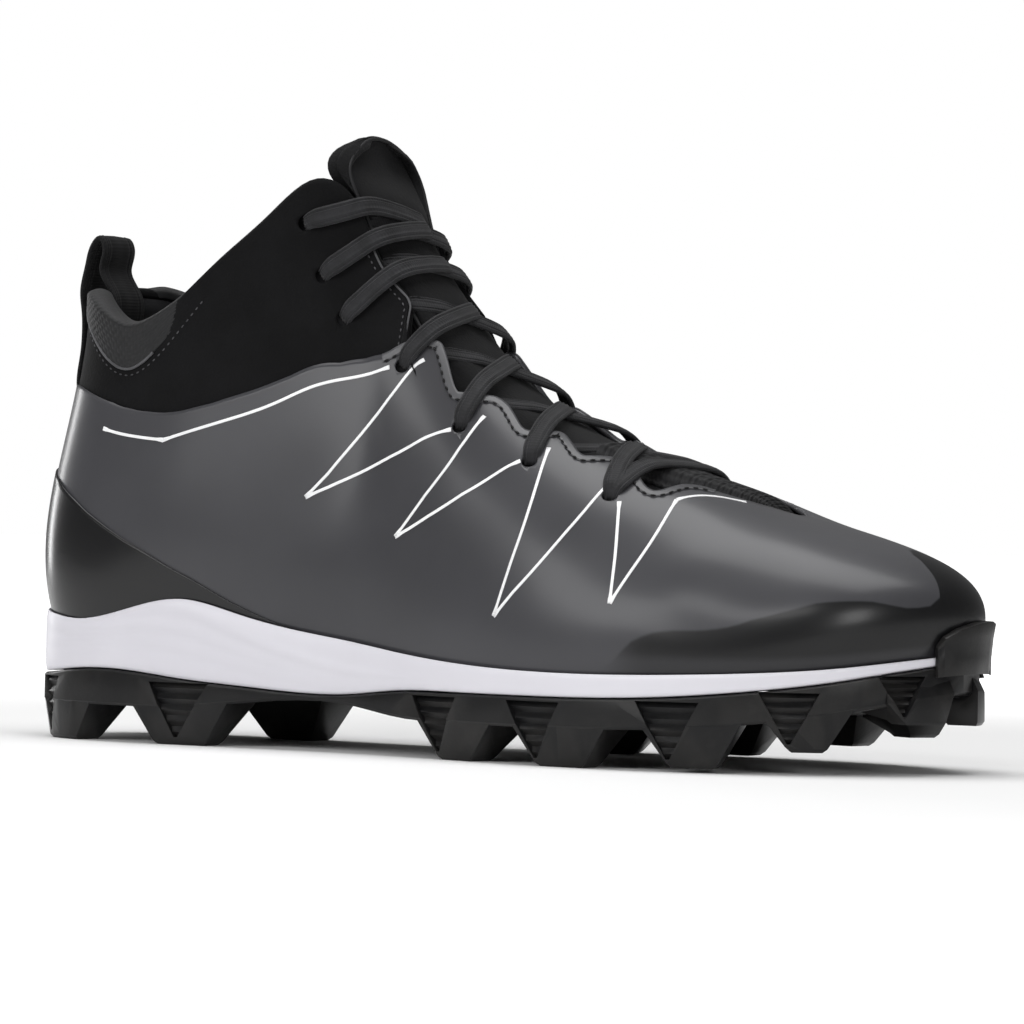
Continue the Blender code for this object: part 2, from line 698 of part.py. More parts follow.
def make_pull_loop():
    """The webbing loop at the heel: up the back, over, and down inside the collar."""
    close = GAP + 0.5 * LOOP_THICK
    heights, lifts = np.array([0.755, 0.82, 0.89, 0.95]), np.array([0.1, 0.2, 0.6, 1.4])
    outside = upper_point(0.0, heights, close + lifts)
    inside = upper_point(0.0, np.array([0.99, 0.91]), -(WALL + 0.25 * PADDING + close + 3.2))
    foot = outside[-1][0]
    fold = np.array(
        [
            (foot - 0.6, 0.0, LOOP_TOP - 16.0),
            (foot + 1.0, 0.0, LOOP_TOP - 8.0),
            (foot + 3.2, 0.0, LOOP_TOP - 1.6),
            (foot + 5.2, 0.0, LOOP_TOP),
            (foot + 6.9, 0.0, LOOP_TOP - 2.2),
            (foot + 6.0, 0.0, LOOP_TOP - 9.0),
        ]
    )
    path = np.concatenate([outside, fold, inside])
    ahead = np.gradient(path, axis=0)
    side = np.cross((0.0, 1.0, 0.0), ahead)
    side /= np.linalg.norm(side, axis=-1, keepdims=True)
    half = np.array([0.0, 0.5 * LOOP_WIDE, 0.0])
    rings = []
    for point, up in zip(path, side):
        up = up * 0.5 * LOOP_THICK
        corners = [point - half - up, point + half - up, point + half + up, point - half + up]
        rings.append(np.array(corners))
    return rings_solid("pull_loop", rings, closed=False)


def finish(part, colour, roughness, smooth):
    """Gives a part its own material, and moves it onto the origin of the shoe."""
    material = bpy.data.materials.new(part.name)
    material.use_nodes = True
    shader = material.node_tree.nodes["Principled BSDF"]
    shader.inputs["Base Color"].default_value = (*colour, 1.0)
    shader.inputs["Roughness"].default_value = roughness
    shader.inputs["Metallic"].default_value = 0.0
    part.data.materials.clear()
    part.data.materials.append(material)
    for point in part.data.vertices:
        point.co.x -= ORIGIN[0] * MM
        point.co.y -= ORIGIN[1] * MM
        point.co.z -= ORIGIN[2] * MM
    if smooth:
        part.data.shade_smooth()


def main():
    """Builds every piece of the shoe."""
    for old in list(bpy.data.objects):
        bpy.data.objects.remove(old)
    finish(make_outsole(), (0.012, 0.012, 0.013), 0.5, False)
    finish(make_midsole(), (0.70, 0.69, 0.72), 0.45, True)
    finish(make_insole(), (0.02, 0.02, 0.02), 0.8, True)
    finish(make_upper(), (0.07, 0.07, 0.08), 0.25, True)
    finish(make_tongue(), (0.01, 0.01, 0.01), 0.8, True)
    finish(make_laces(), (0.02, 0.02, 0.022), 0.7, True)
    finish(make_pull_loop(), (0.01, 0.01, 0.011), 0.7, False)


main()
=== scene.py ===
"""Looks of an american football cleat: a right shoe, mid cut, laced, standing empty on its studs.

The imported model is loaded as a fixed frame, and each piece of the dressed shoe is built on the same
last as the solids. The last is laid out in millimetres from the back of the heel: X runs to the toe,
Y to the inner side of the foot, Z up from the ground.
"""

from __future__ import annotations

import logging
import math
from dataclasses import dataclass, field
from enum import Enum
from typing import Callable, Sequence

import bmesh
import bpy
import numpy as np
from mathutils import Matrix, Vector

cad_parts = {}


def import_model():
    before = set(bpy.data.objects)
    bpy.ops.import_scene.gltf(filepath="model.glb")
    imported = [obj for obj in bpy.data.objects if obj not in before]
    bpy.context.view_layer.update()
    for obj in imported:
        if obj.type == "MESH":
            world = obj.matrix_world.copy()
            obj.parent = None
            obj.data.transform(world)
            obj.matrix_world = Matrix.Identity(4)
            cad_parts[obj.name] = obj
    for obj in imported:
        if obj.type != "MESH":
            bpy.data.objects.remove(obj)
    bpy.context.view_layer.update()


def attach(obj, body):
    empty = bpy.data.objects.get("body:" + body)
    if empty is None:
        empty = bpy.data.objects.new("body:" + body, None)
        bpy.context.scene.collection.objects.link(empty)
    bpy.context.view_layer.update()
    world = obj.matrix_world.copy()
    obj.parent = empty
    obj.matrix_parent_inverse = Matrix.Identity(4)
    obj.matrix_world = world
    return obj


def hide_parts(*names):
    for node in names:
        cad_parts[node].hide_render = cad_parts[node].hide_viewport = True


LOG = logging.getLogger("cleat")
Array = np.ndarray
Place = Callable[[Array, Array], Array]
Socket = bpy.types.NodeSocket
Pair = tuple[float, float]
Stitch = tuple[float, float, float]

# One millimetre in metres, and where the part's origin lies on the last.
MM = 0.001
ORIGIN = np.array((148.4, 0.25, 0.0))
# Air between pieces, the quarter's rise over the last, the upper's wall and the collar's padding.
GAP = 0.35
SKIN = 0.7
WALL = 2.2
PADDING = 3.4
# How far the upper is set in from the sole's outline, and how deep it sits under the rim.
SEAT_INSET = 2.0
SEAT_DEPTH = 1.6
# Fullness of the instep's arch over the vamp and at the collar.
CROWN = 0.78
CROWN_AT_COLLAR = 0.98
# Stations run from the heel along the outer side to the toe, and back on the inner side to LAP.
TOE_STATION = 20.0
LAP = 40.0
# Points of the same mesh closer than this many metres are one point.
WELD = 2e-6


@dataclass(frozen=True)
class Table:
    """Rows of sizes under named columns."""

    names: tuple[str, ...]
    rows: tuple[tuple[float, ...], ...]

    def column(self, name: str) -> Array:
        """Values of one named column.

        Args:
            name: the column's name.

        Returns:
            One value a row.
        """
        return np.array([row[self.names.index(name)] for row in self.rows], float)

    def softened(self, name: str, at: Array, reach: float) -> Array:
        """Values of a column between the rows, with the corners rounded.

        Args:
            name: the column to read.
            at: the places, counted in the first column.
            reach: how far either side the rounding goes.

        Returns:
            One value a place.
        """
        keys, values = self.column(self.names[0]), self.column(name)
        spread = np.linspace(-reach, reach, 7)
        return np.mean([np.interp(at + step, keys, values) for step in spread], axis=0)


STATIONS = Table(
    ("along", "outer", "inner", "top_along", "top_mid", "top_half", "top", "inner_top",
     "lean", "rise", "out", "drop"),
    (
        (0.0, 0.0, 0.0, 11.5, 0.0, 0.0, 131.0, 0.0, 9.2, 30.0, 0.0, 36.0),
        (3.5, -14.0, 14.0, 13.5, 0.0, 10.0, 130.5, 1.0, 9.0, 30.0, 0.0, 36.0),
        (12.0, -25.5, 25.5, 19.5, 0.0, 19.0, 128.5, 2.5, 7.5, 29.0, 0.5, 36.0),
        (27.0, -32.5, 32.5, 28.5, 0.0, 25.0, 123.5, 4.5, 5.5, 26.0, 1.5, 36.0),
        (45.0, -35.0, 34.5, 41.0, 0.0, 28.5, 119.0, 5.0, 5.0, 26.0, 2.0, 36.0),
        (64.0, -35.5, 34.0, 56.0, 0.0, 30.0, 126.0, 5.0, 5.0, 26.0, 2.0, 38.0),
        (83.0, -34.8, 31.5, 71.0, 0.0, 29.5, 138.5, 5.0, 5.0, 28.0, 2.5, 42.0),
        (100.0, -34.3, 29.5, 86.0, 0.0, 28.0, 150.5, 3.0, 5.0, 30.0, 3.0, 46.0),
        (115.0, -34.8, 29.0, 100.0, 0.0, 24.5, 160.5, 0.0, 5.0, 32.0, 4.0, 50.0),
        (127.0, -36.3, 31.0, 110.5, 0.0, 20.5, 155.5, -2.0, 5.0, 33.0, 6.0, 46.0),
        (139.0, -38.9, 34.5, 118.6, 0.2, 20.0, 141.6, -2.0, 4.5, 34.0, 9.0, 34.0),
        (152.0, -42.3, 39.0, 128.8, 0.4, 20.0, 128.8, -2.0, 4.0, 34.0, 11.0, 24.0),
        (166.0, -46.0, 43.5, 141.8, 0.6, 20.0, 114.6, -2.0, 4.0, 33.0, 13.0, 16.0),
        (182.0, -49.3, 48.0, 158.6, 0.8, 20.0, 101.6, -2.0, 4.0, 31.0, 15.0, 9.0),
        (200.0, -51.2, 51.0, 177.4, 1.0, 19.3, 91.6, -1.5, 4.5, 28.0, 17.0, 6.0),
        (219.0, -50.6, 51.8, 197.4, 1.2, 17.8, 83.9, -1.0, 5.0, 25.0, 18.0, 4.5),
        (238.0, -47.0, 50.0, 217.5, 1.6, 14.6, 77.4, -0.5, 5.5, 22.0, 19.0, 4.5),
        (256.0, -40.2, 45.5, 232.5, 2.0, 10.2, 72.6, 0.0, 7.2, 20.0, 24.0, 6.8),
        (272.0, -29.5, 37.3, 239.5, 2.3, 6.6, 70.2, 0.0, 9.2, 20.5, 32.0, 9.0),
        (285.0, -14.5, 26.0, 242.8, 2.6, 3.3, 69.0, 0.0, 10.6, 21.0, 38.5, 10.0),
        (292.6, 8.0, 8.0, 243.8, 2.8, 0.0, 68.8, 0.0, 11.0, 21.0, 42.0, 10.4),
    ),
)

LEVELS = Table(
    ("along", "wall_foot", "outsole_top", "rim"),
    (
        (0.0, 10.6, 18.6, 38.0),
        (12.0, 10.6, 19.2, 36.6),
        (27.0, 10.6, 20.6, 35.2),
        (46.0, 10.6, 20.5, 38.8),
        (64.0, 10.8, 18.7, 41.8),
        (82.0, 12.6, 17.4, 38.2),
        (101.0, 14.2, 16.2, 34.2),
        (119.0, 13.9, 16.2, 31.7),
        (139.0, 11.0, 18.1, 28.9),
        (158.0, 10.4, 18.5, 27.0),
        (188.0, 10.4, 18.6, 25.6),
        (213.0, 10.8, 19.0, 25.6),
        (235.0, 11.8, 20.3, 26.3),
        (254.0, 13.8, 22.3, 27.3),
        (271.0, 16.6, 25.0, 28.9),
        (285.0, 20.0, 28.4, 31.3),
        (295.0, 22.6, 30.8, 33.4),
    ),
)

# Eyelet rows from toe to collar: the hole, where its lace crosses the throat's edge on top, and
# where the lace that arrives at it from the other side goes under the edge.
EYELETS = Table(
    ("station", "height", "edge", "dive"),
    (
        (14.72, 0.665, 15.3, 14.9),
        (13.40, 0.680, 13.95, 14.2),
        (12.04, 0.675, 12.65, 12.95),
        (10.54, 0.735, 11.45, 11.9),
        (8.58, 0.745, 10.5, 10.9),
        (8.08, 0.825, 9.9, 10.0),
        (7.75, 0.935, 9.35, 9.15),
    ),
)

# The upper edge of the coated quarter: along the cuff, then in stitched steps down the throat.
QUARTER_TOP = Table(
    ("station", "height"),
    (
        (0.0, 0.725), (1.2, 0.735), (2.42, 0.757), (3.5, 0.775), (4.0, 0.766), (4.42, 0.740),
        (4.8, 0.707), (5.12, 0.686), (5.74, 0.664), (6.54, 0.652), (7.38, 0.644), (8.48, 0.652),
        (9.22, 0.683), (9.96, 0.730), (10.18, 0.750), (11.08, 0.850), (11.74, 0.953),
        (11.86, 0.957), (11.92, 0.867), (12.02, 0.790), (12.54, 0.857), (12.88, 0.920),
        (13.02, 0.927), (13.16, 0.907), (13.24, 0.840), (13.36, 0.813), (13.76, 0.887),
        (14.02, 0.950), (14.12, 0.923), (14.18, 0.867), (14.30, 0.823), (14.74, 0.905),
        (14.98, 0.940), (15.08, 0.925), (15.20, 0.790), (15.30, 0.760), (15.42, 0.765),
        (15.58, 0.815), (15.82, 0.900), (16.08, 0.950), (16.4, 0.965), (17.0, 0.985),
        (17.6, 1.0), (20.0, 1.0),
    ),
)

# The cuff's edge: round the collar, then down the throat to a flap that hangs over, so each row
# says both where it starts on the base line and where the edge stands.
CUFF_TOP = Table(
    ("base", "station", "height"),
    (
        (0.0, 0.0, 1.0), (3.4, 3.4, 1.0), (7.6, 7.6, 1.0), (8.3, 8.3, 0.998), (8.7, 8.75, 0.996),
        (9.1, 9.2, 0.988), (9.4, 9.65, 0.975),
        (9.7, 10.05, 0.968), (10.1, 10.55, 0.975), (10.35, 10.95, 0.988), (10.5, 11.02, 0.965),
        (10.8, 10.8, 0.86), (11.0, 10.6, 0.775), (11.5, 11.2, 0.72), (12.5, 12.5, 0.70),
    ),
)

# Top of the glossy heel panel.
HEEL_PANEL_TOP = Table(
    ("station", "height"),
    (
        (0.0, 0.475), (1.0, 0.470), (1.9, 0.455), (2.82, 0.420), (3.30, 0.378), (3.66, 0.330),
        (3.98, 0.277), (4.30, 0.220), (4.58, 0.167), (4.86, 0.120), (5.32, 0.075), (5.74, 0.047),
        (6.26, 0.030), (6.9, 0.012), (7.4, 0.002),
    ),
)

# Lower edge of the pebbled pad that wraps over the collar behind the ankle.
PAD_FOOT = Table(
    ("station", "height"),
    (
        (1.15, 1.0), (1.45, 0.970), (1.9, 0.943), (2.64, 0.915), (3.22, 0.893), (3.60, 0.886),
        (3.94, 0.888), (4.22, 0.899), (4.66, 0.922), (4.98, 0.940), (5.38, 0.957), (5.9, 0.975),
        (6.5, 1.0),
    ),
)

# The white zigzag: the points of each stroke, in stations and shares of the height.
STROKES = (
    ((3.32, 0.684), (4.06, 0.671), (4.76, 0.6175)),
    ((4.72, 0.6185), (5.60, 0.606), (6.60, 0.600), (7.54, 0.602), (8.60, 0.622), (9.40, 0.658),
     (10.12, 0.706)),
    ((11.24, 0.807), (10.22, 0.650), (9.16, 0.530), (8.26, 0.440), (7.50, 0.367)),
    ((7.50, 0.367), (8.44, 0.405), (9.56, 0.463), (10.74, 0.540), (11.82, 0.643)),
    ((12.60, 0.773), (12.06, 0.613), (11.44, 0.487), (10.74, 0.387), (10.02, 0.300)),
    ((10.02, 0.300), (11.00, 0.367), (11.86, 0.449), (12.60, 0.547), (13.24, 0.660)),
    ((13.76, 0.787), (13.48, 0.573), (13.20, 0.413), (12.88, 0.277), (12.54, 0.153)),
    ((12.54, 0.153), (13.22, 0.273), (13.82, 0.410), (14.36, 0.577), (14.88, 0.800)),
    ((14.86, 0.647), (14.82, 0.530), (14.78, 0.430), (14.73, 0.337), (14.68, 0.250)),
    ((14.68, 0.250), (14.95, 0.350), (15.21, 0.457), (15.46, 0.587), (15.70, 0.757)),
    ((15.70, 0.757), (15.88, 0.807), (16.34, 0.900), (16.84, 0.950)),
)

# Soft troughs (minus) and ridges (plus) where the upper flexes: both ends, width and depth in mm.
CREASES = Table(
    ("from_station", "from_height", "to_station", "to_height", "width", "depth"),
    (
        (7.2, 0.30, 9.6, 0.52, 9.0, -0.55),
        (7.8, 0.18, 10.4, 0.36, 8.0, 0.40),
        (13.9, 0.22, 15.6, 0.60, 7.0, -0.45),
        (15.2, 0.20, 16.6, 0.62, 6.0, 0.35),
        (16.4, 0.22, 17.4, 0.60, 6.5, -0.40),
        (3.0, 0.20, 4.4, 0.55, 8.0, -0.30),
        (10.6, 0.30, 12.4, 0.62, 8.0, 0.35),
    ),
)


class Curve:
    """A natural cubic curve through rows of values."""

    def __init__(self, keys: Array, values: Array) -> None:
        """Works out how the curve bends at each row.

        Args:
            keys: where the rows stand, rising.
            values: one value, or one row of values, a key.
        """
        self.keys, self.values = np.asarray(keys, float), np.asarray(values, float)
        self.flat = self.values.reshape(len(keys), -1)
        self.gap = np.diff(self.keys)
        slope = np.diff(self.flat, axis=0) / self.gap[:, None]
        system, force = np.eye(len(keys)), np.zeros_like(self.flat)
        for i in range(1, len(keys) - 1):
            before, after = self.gap[i - 1], self.gap[i]
            system[i, i - 1 : i + 2] = before, 2 * (before + after), after
            force[i] = 6 * (slope[i] - slope[i - 1])
        self.bend = np.linalg.solve(system, force)

    def at(self, places: Array) -> Array:
        """The curve's values at some places."""
        places = np.asarray(places, float)
        i = np.clip(np.searchsorted(self.keys, places, side="right") - 1, 0, len(self.keys) - 2)
        a = ((self.keys[i + 1] - places) / self.gap[i])[..., None]
        b = 1 - a
        curve = (a**3 - a) * self.bend[i] + (b**3 - b) * self.bend[i + 1]
        result = a * self.flat[i] + b * self.flat[i + 1] + curve * (self.gap[i] ** 2)[..., None] / 6
        return result.reshape(places.shape + self.values.shape[1:])


def blend(low: float, high: float, value: Array) -> Array:
    """Smooth step from 0 at low to 1 at high."""
    share = np.clip((np.asarray(value, float) - low) / (high - low), 0, 1)
    return share * share * (3 - 2 * share)


def unit(vectors: Array) -> Array:
    """The same vectors at length one."""
    return vectors / np.maximum(np.linalg.norm(vectors, axis=-1, keepdims=True), 1e-9)


def side_station(station: Array) -> Array:
    """Stations counted on the outer side, whichever side they are on."""
    station = np.asarray(station, float)
    return np.where(station > TOE_STATION, LAP - station, station)


def chord_keys(points: Array) -> Array:
    """Distance along a row of points, from its start."""
    return np.concatenate([[0.0], np.cumsum(np.linalg.norm(np.diff(points, axis=0), axis=-1))])


def read_row(points: Array, keys: Array, places: Array) -> Array:
    """The points at some distances along a row, straight between its own."""
    columns = [np.interp(places, keys, points[:, k]) for k in range(points.shape[1])]
    return np.stack(columns, axis=-1)


def refine(points: Array, count: int) -> Array:
    """A smooth row of points through the given ones.

    Args:
        points: the points to pass through.
        count: how many points to return.

    Returns:
        The new row, evenly spaced.
    """
    keys = chord_keys(points)
    return Curve(keys, points).at(np.linspace(0, keys[-1], count))


def rounded(points: Array, count: int, passes: int) -> Array:
    """A row of points along straight runs, with its corners rounded off.

    Args:
        points: the corners.
        count: how many points to return.
        passes: how often each point is moved to the mean of its neighbours.

    Returns:
        The new row.
    """
    keys = chord_keys(points)
    row = read_row(points, keys, np.linspace(0, keys[-1], count))
    for _ in range(passes):
        row[1:-1] = 0.25 * row[:-2] + 0.5 * row[1:-1] + 0.25 * row[2:]
    return row


class Last:
    """The foot shape that every piece is built on, the same as the solids' own."""

    def __init__(self) -> None:
        """Reads the tables once."""
        along = STATIONS.column("along")
        outer, inner = STATIONS.column("outer"), STATIONS.column("inner")
        x, y = self.ring(along, along), self.ring(outer, inner)
        run = np.concatenate([[0.0], np.cumsum(np.hypot(np.diff(x), np.diff(y)))])
        self.keys = run - run[4]
        middle, half = STATIONS.column("top_mid"), STATIONS.column("top_half")
        top_x, top = STATIONS.column("top_along"), STATIONS.column("top")
        bends = [STATIONS.column(name) for name in ("lean", "rise", "out", "drop")]
        columns = [
            x,
            y,
            self.ring(top_x, top_x),
            self.ring(middle - half, middle + half),
            self.ring(top, top + STATIONS.column("inner_top")),
            *[self.ring(bend, bend) for bend in bends],
        ]
        self.side = Curve(self.keys, np.stack(columns, axis=-1))
        names = LEVELS.names[1:]
        self.levels = {name: Curve(LEVELS.column("along"), LEVELS.column(name)) for name in names}

    @staticmethod
    def ring(outer: Array, inner: Array) -> Array:
        """A closed row of values: out along the outer side and back on the inner."""
        loop = np.concatenate([outer, inner[-2:0:-1]])
        return np.concatenate([loop[-4:], loop, loop[:5]])

    def at(self, station: Array) -> Array:
        """Every column of the stations' table at a place round the sole."""
        numbers = np.arange(-4, int(LAP) + 5)
        return self.side.at(np.interp(station, numbers, self.keys))

    def level(self, name: str, along: Array) -> Array:
        """Height of one of the sole's lines at a distance from the heel."""
        return self.levels[name].at(along)

    def outline(self, station: Array, offset: Array) -> tuple[Array, Array]:
        """The sole's outline, moved outwards.

        Args:
            station: places round the sole.
            offset: how far outwards.

        Returns:
            The x and the y of each point.
        """
        here = self.at(station)
        step = self.at(station + 0.01) - self.at(station - 0.01)
        size = np.hypot(step[..., 0], step[..., 1])
        return (
            here[..., 0] + offset * step[..., 1] / size,
            here[..., 1] - offset * step[..., 0] / size,
        )

    def sole(self, station: Array, offset: Array, line: str, lift: Array) -> Array:
        """Points beside the sole.

        Args:
            station: places round the sole.
            offset: how far outside the outline.
            line: the name of the line that heights are counted from.
            lift: the height over that line.

        Returns:
            The points.
        """
        x, y = self.outline(station, offset)
        return np.stack([x, y, self.level(line, x) + lift], axis=-1)

    def point(self, station: Array, height: Array) -> Array:
        """Points of the last's side: height 0 at the sole and 1 on the collar or throat line."""
        values = self.at(station)
        x3, y3, z3 = (values[..., k] for k in (2, 3, 4))
        lean, rise, out, drop = (values[..., k] for k in (5, 6, 7, 8))
        x0, y0 = self.outline(station, -SEAT_INSET - SKIN)
        z0 = self.level("rim", x0) - SEAT_DEPTH + 2 * GAP
        x1, y1 = self.outline(station, -SEAT_INSET - SKIN + lean)
        reach = np.hypot(x0 - x3, y0 - y3)
        x2, y2 = x3 + out * (x0 - x3) / reach, y3 + out * (y0 - y3) / reach
        rest = 1 - height
        a, b, c, d = rest**3, 3 * height * rest**2, 3 * height**2 * rest, height**3
        x = a * x0 + b * x1 + c * x2 + d * x3
        y = a * y0 + b * y1 + c * y2 + d * y3
        z = a * z0 + b * (z0 + rise) + c * (z3 - drop) + d * z3
        return np.stack([x, y, z], axis=-1)

    def normal(self, station: Array, height: Array) -> Array:
        """Outward normals of the last's side."""
        round_it = self.point(station + 0.05, height) - self.point(station - 0.05, height)
        up_it = self.point(station, height + 0.01) - self.point(station, height - 0.01)
        return unit(np.cross(round_it, up_it))

    def skin(self, station: Array, height: Array, offset: Array) -> Array:
        """Points of the last's side, moved outwards by an offset."""
        station, height = np.broadcast_arrays(np.asarray(station, float), np.asarray(height, float))
        lift = np.broadcast_to(np.asarray(offset, float), station.shape)
        return self.point(station, height) + self.normal(station, height) * lift[..., None]

    def instep(self, station: Array, across: Array) -> Array:
        """Points over the instep: across -1 and 1 are the throat's edges, beyond them the upper."""
        one = np.ones_like(station)
        outer, inner = self.point(station, one), self.point(LAP - station, one)
        rise_out = unit(outer - self.point(station, 0.97 * one))
        rise_in = unit(inner - self.point(LAP - station, 0.97 * one))
        crown = CROWN_AT_COLLAR + (CROWN - CROWN_AT_COLLAR) * blend(10.5, 13.0, station)
        reach = np.linalg.norm(inner - outer, axis=-1, keepdims=True) * crown[..., None]
        t = np.clip((across + 1) / 2, 0, 1)[..., None]
        bridge = (
            (2 * t**3 - 3 * t**2 + 1) * outer
            + (t**3 - 2 * t**2 + t) * rise_out * reach
            + (3 * t**2 - 2 * t**3) * inner
            + (t**2 - t**3) * rise_in * reach
        )
        beyond = np.minimum(1 - 0.2 * (np.abs(across) - 1), 1)
        far_out, far_in = self.point(station, beyond), self.point(LAP - station, beyond)
        across = across[..., None]
        return np.where(across < -1, far_out, np.where(across > 1, far_in, bridge))

    def instep_normal(self, station: Array, across: Array) -> Array:
        """Outward normals over the instep."""
        along = self.instep(station + 0.05, across) - self.instep(station - 0.05, across)
        over = self.instep(station, across + 0.02) - self.instep(station, across - 0.02)
        return unit(np.cross(along, over))

    def over_instep(self, station: Array, across: Array, lift: Array) -> Array:
        """Points over the instep, moved outwards by a lift."""
        station, across = np.broadcast_arrays(np.asarray(station, float), np.asarray(across, float))
        lift = np.broadcast_to(np.asarray(lift, float), station.shape)
        return self.instep(station, across) + self.instep_normal(station, across) * lift[..., None]

    def shift(self, line: Array, sideways: float | Array) -> Array:
        """Moves a line drawn on the last's side across itself.

        Args:
            line: stations and heights along the line.
            sideways: how far in millimetres, to the left of its direction seen from outside.

        Returns:
            Stations and heights of the moved line.
        """
        station, height = line[:, 0], line[:, 1]
        points = self.point(station, height)
        ahead = unit(np.gradient(points, axis=0))
        left = unit(np.cross(self.normal(station, height), ahead))
        move = left * np.reshape(sideways, (-1, 1))
        per_station = (self.point(station + 0.02, height) - self.point(station - 0.02, height)) / 0.04
        per_height = (self.point(station, height + 0.005) - self.point(station, height - 0.005)) / 0.01
        aa, bb = (per_station**2).sum(-1), (per_height**2).sum(-1)
        ab = (per_station * per_height).sum(-1)
        am, bm = (per_station * move).sum(-1), (per_height * move).sum(-1)
        size = aa * bb - ab**2
        return line + np.stack([(am * bb - bm * ab) / size, (bm * aa - am * ab) / size], axis=-1)


LAST = Last()


def padding(station: Array, height: Array) -> Array:
    """Extra thickness of the collar's padding, which swells to the inside."""
    row = side_station(station)
    along = blend(0.3, 1.8, row) * 0.75 + 0.25 - blend(6.6, 8.8, row)
    return PADDING * along * blend(0.62, 0.9, height)


def crease(station: Array, height: Array) -> Array:
    """How far the flexed upper stands out or in, in millimetres."""
    x, y = side_station(station) * 11.0, np.asarray(height, float) * 80.0
    total = np.zeros_like(x)
    names = ("from_station", "from_height", "to_station", "to_height", "width", "depth")
    for x0, y0, x1, y1, width, depth in zip(*(CREASES.column(name) for name in names)):
        start = np.array([x0 * 11.0, y0 * 80.0])
        run = np.array([x1 * 11.0, y1 * 80.0]) - start
        share = ((x - start[0]) * run[0] + (y - start[1]) * run[1]) / (run @ run)
        near = np.clip(share, 0, 1)
        away = np.hypot(x - start[0] - near * run[0], y - start[1] - near * run[1])
        total += depth * np.exp(-((away / width) ** 2)) * (0.35 + 0.65 * np.sin(np.pi * near))
    return total


def add_object(name: str, mesh: bmesh.types.BMesh, smooth: bool = True) -> bpy.types.Object:
    """Puts a finished mesh into the scene.

    Args:
        name: the piece's name.
        mesh: its mesh, which is used up.
        smooth: whether its faces shade smoothly.

    Returns:
        The new object.
    """
    data = bpy.data.meshes.new(name)
    mesh.to_mesh(data)
    mesh.free()
    piece = bpy.data.objects.new(name, data)
    bpy.context.scene.collection.objects.link(piece)
    if smooth:
        data.shade_smooth()
    return piece


def lay_grid(mesh: bmesh.types.BMesh, columns: Array, rows: Array, place: Place) -> None:
    """Lays a grid of faces on a surface, with the surface's two numbers as its UV map.

    Args:
        mesh: the mesh that takes the grid.
        columns: the first number of each column.
        rows: the second number of each row.
        place: gives the points in millimetres for both numbers.
    """
    layer = mesh.loops.layers.uv.verify()
    made = bmesh.ops.create_grid(mesh, x_segments=len(columns) - 1, y_segments=len(rows) - 1, size=1.0)
    verts = made["verts"]
    flat = np.array([vert.co for vert in verts])
    i = np.rint((flat[:, 0] + 1) / 2 * (len(columns) - 1)).astype(int)
    j = np.rint((flat[:, 1] + 1) / 2 * (len(rows) - 1)).astype(int)
    points = (place(columns[i], rows[j]) - ORIGIN) * MM
    both = {}
    for vert, point, a, b in zip(verts, points, columns[i], rows[j]):
        vert.co = point
        both[vert] = (a, b)
    for face in {face for vert in verts for face in vert.link_faces}:
        for loop in face.loops:
            loop[layer].uv = both[loop.vert]


def sheet(name: str, columns: Array, rows: Array, place: Place, weld: bool = False) -> bpy.types.Object:
    """One sheet laid on a surface.

    Args:
        name: the piece's name.
        columns: the first number of each column.
        rows: the second number of each row.
        place: gives the points in millimetres for both numbers.
        weld: whether edges that meet are joined.

    Returns:
        The new object.
    """
    mesh = bmesh.new()
    lay_grid(mesh, columns, rows, place)
    if weld:
        bmesh.ops.remove_doubles(mesh, verts=mesh.verts[:], dist=WELD)
    return add_object(name, mesh)


def thicken(piece: bpy.types.Object, thick: float, offset: float = -1.0) -> None:
    """Gives a sheet its thickness in millimetres, inwards unless offset says otherwise."""
    modifier = piece.modifiers.new("thickness", "SOLIDIFY")
    modifier.thickness = thick * MM
    modifier.offset = offset
    modifier.use_rim = True
    modifier.use_even_offset = False


def dress(piece: bpy.types.Object, material: bpy.types.Material) -> None:
    """Gives a piece its material and lets it ride on the shoe.

    Args:
        piece: the piece.
        material: its material.
    """
    piece.data.materials.clear()
    piece.data.materials.append(material)
    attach(piece, "root")


def squared_ring(count: int, across: float, up: float) -> tuple[Array, Array]:
    """A closed ring of points, squared off by powers under 1.

    Args:
        count: how many points it has.
        across: the power of its width.
        up: the power of its height.

    Returns:
        The points' places across and up, from -1 to 1.
    """
    angle = np.linspace(0, 2 * np.pi, count, endpoint=False)
    x, y = np.cos(angle), np.sin(angle)
    return np.sign(x) * np.abs(x) ** across, np.sign(y) * np.abs(y) ** up


def cord_section(radius: float, count: int) -> Array:
    """The round section of a cord, once for each point of its path."""
    return radius * np.stack(squared_ring(8, 1.0, 1.0), axis=-1)[None].repeat(count, axis=0)


def tube_sections(path: Array, sides: Array, section: Array) -> Array:
    """Sections of a band or cord set along a path.

    Args:
        path: points along the middle.
        sides: the direction across the band at each point.
        section: points of the section, across and up.

    Returns:
        An array of sections, each a row of points.
    """
    ahead = unit(np.gradient(path, axis=0))
    across = unit(sides - (sides * ahead).sum(-1, keepdims=True) * ahead)
    up = np.cross(across, ahead)
    return (
        path[:, None]
        + across[:, None] * section[..., 0][..., None]
        + up[:, None] * section[..., 1][..., None]
    )


def loft(name: str, sections: Array) -> bpy.types.Object:
    """A closed band from sections of equal count, welded round and capped at both ends.

    Args:
        name: the piece's name.
        sections: an array of sections, each a closed row of points without its first repeated.

    Returns:
        The new object, with its UV map in shares along and round.
    """
    mesh = bmesh.new()
    lay_loft(mesh, sections)
    return add_object(name, mesh)


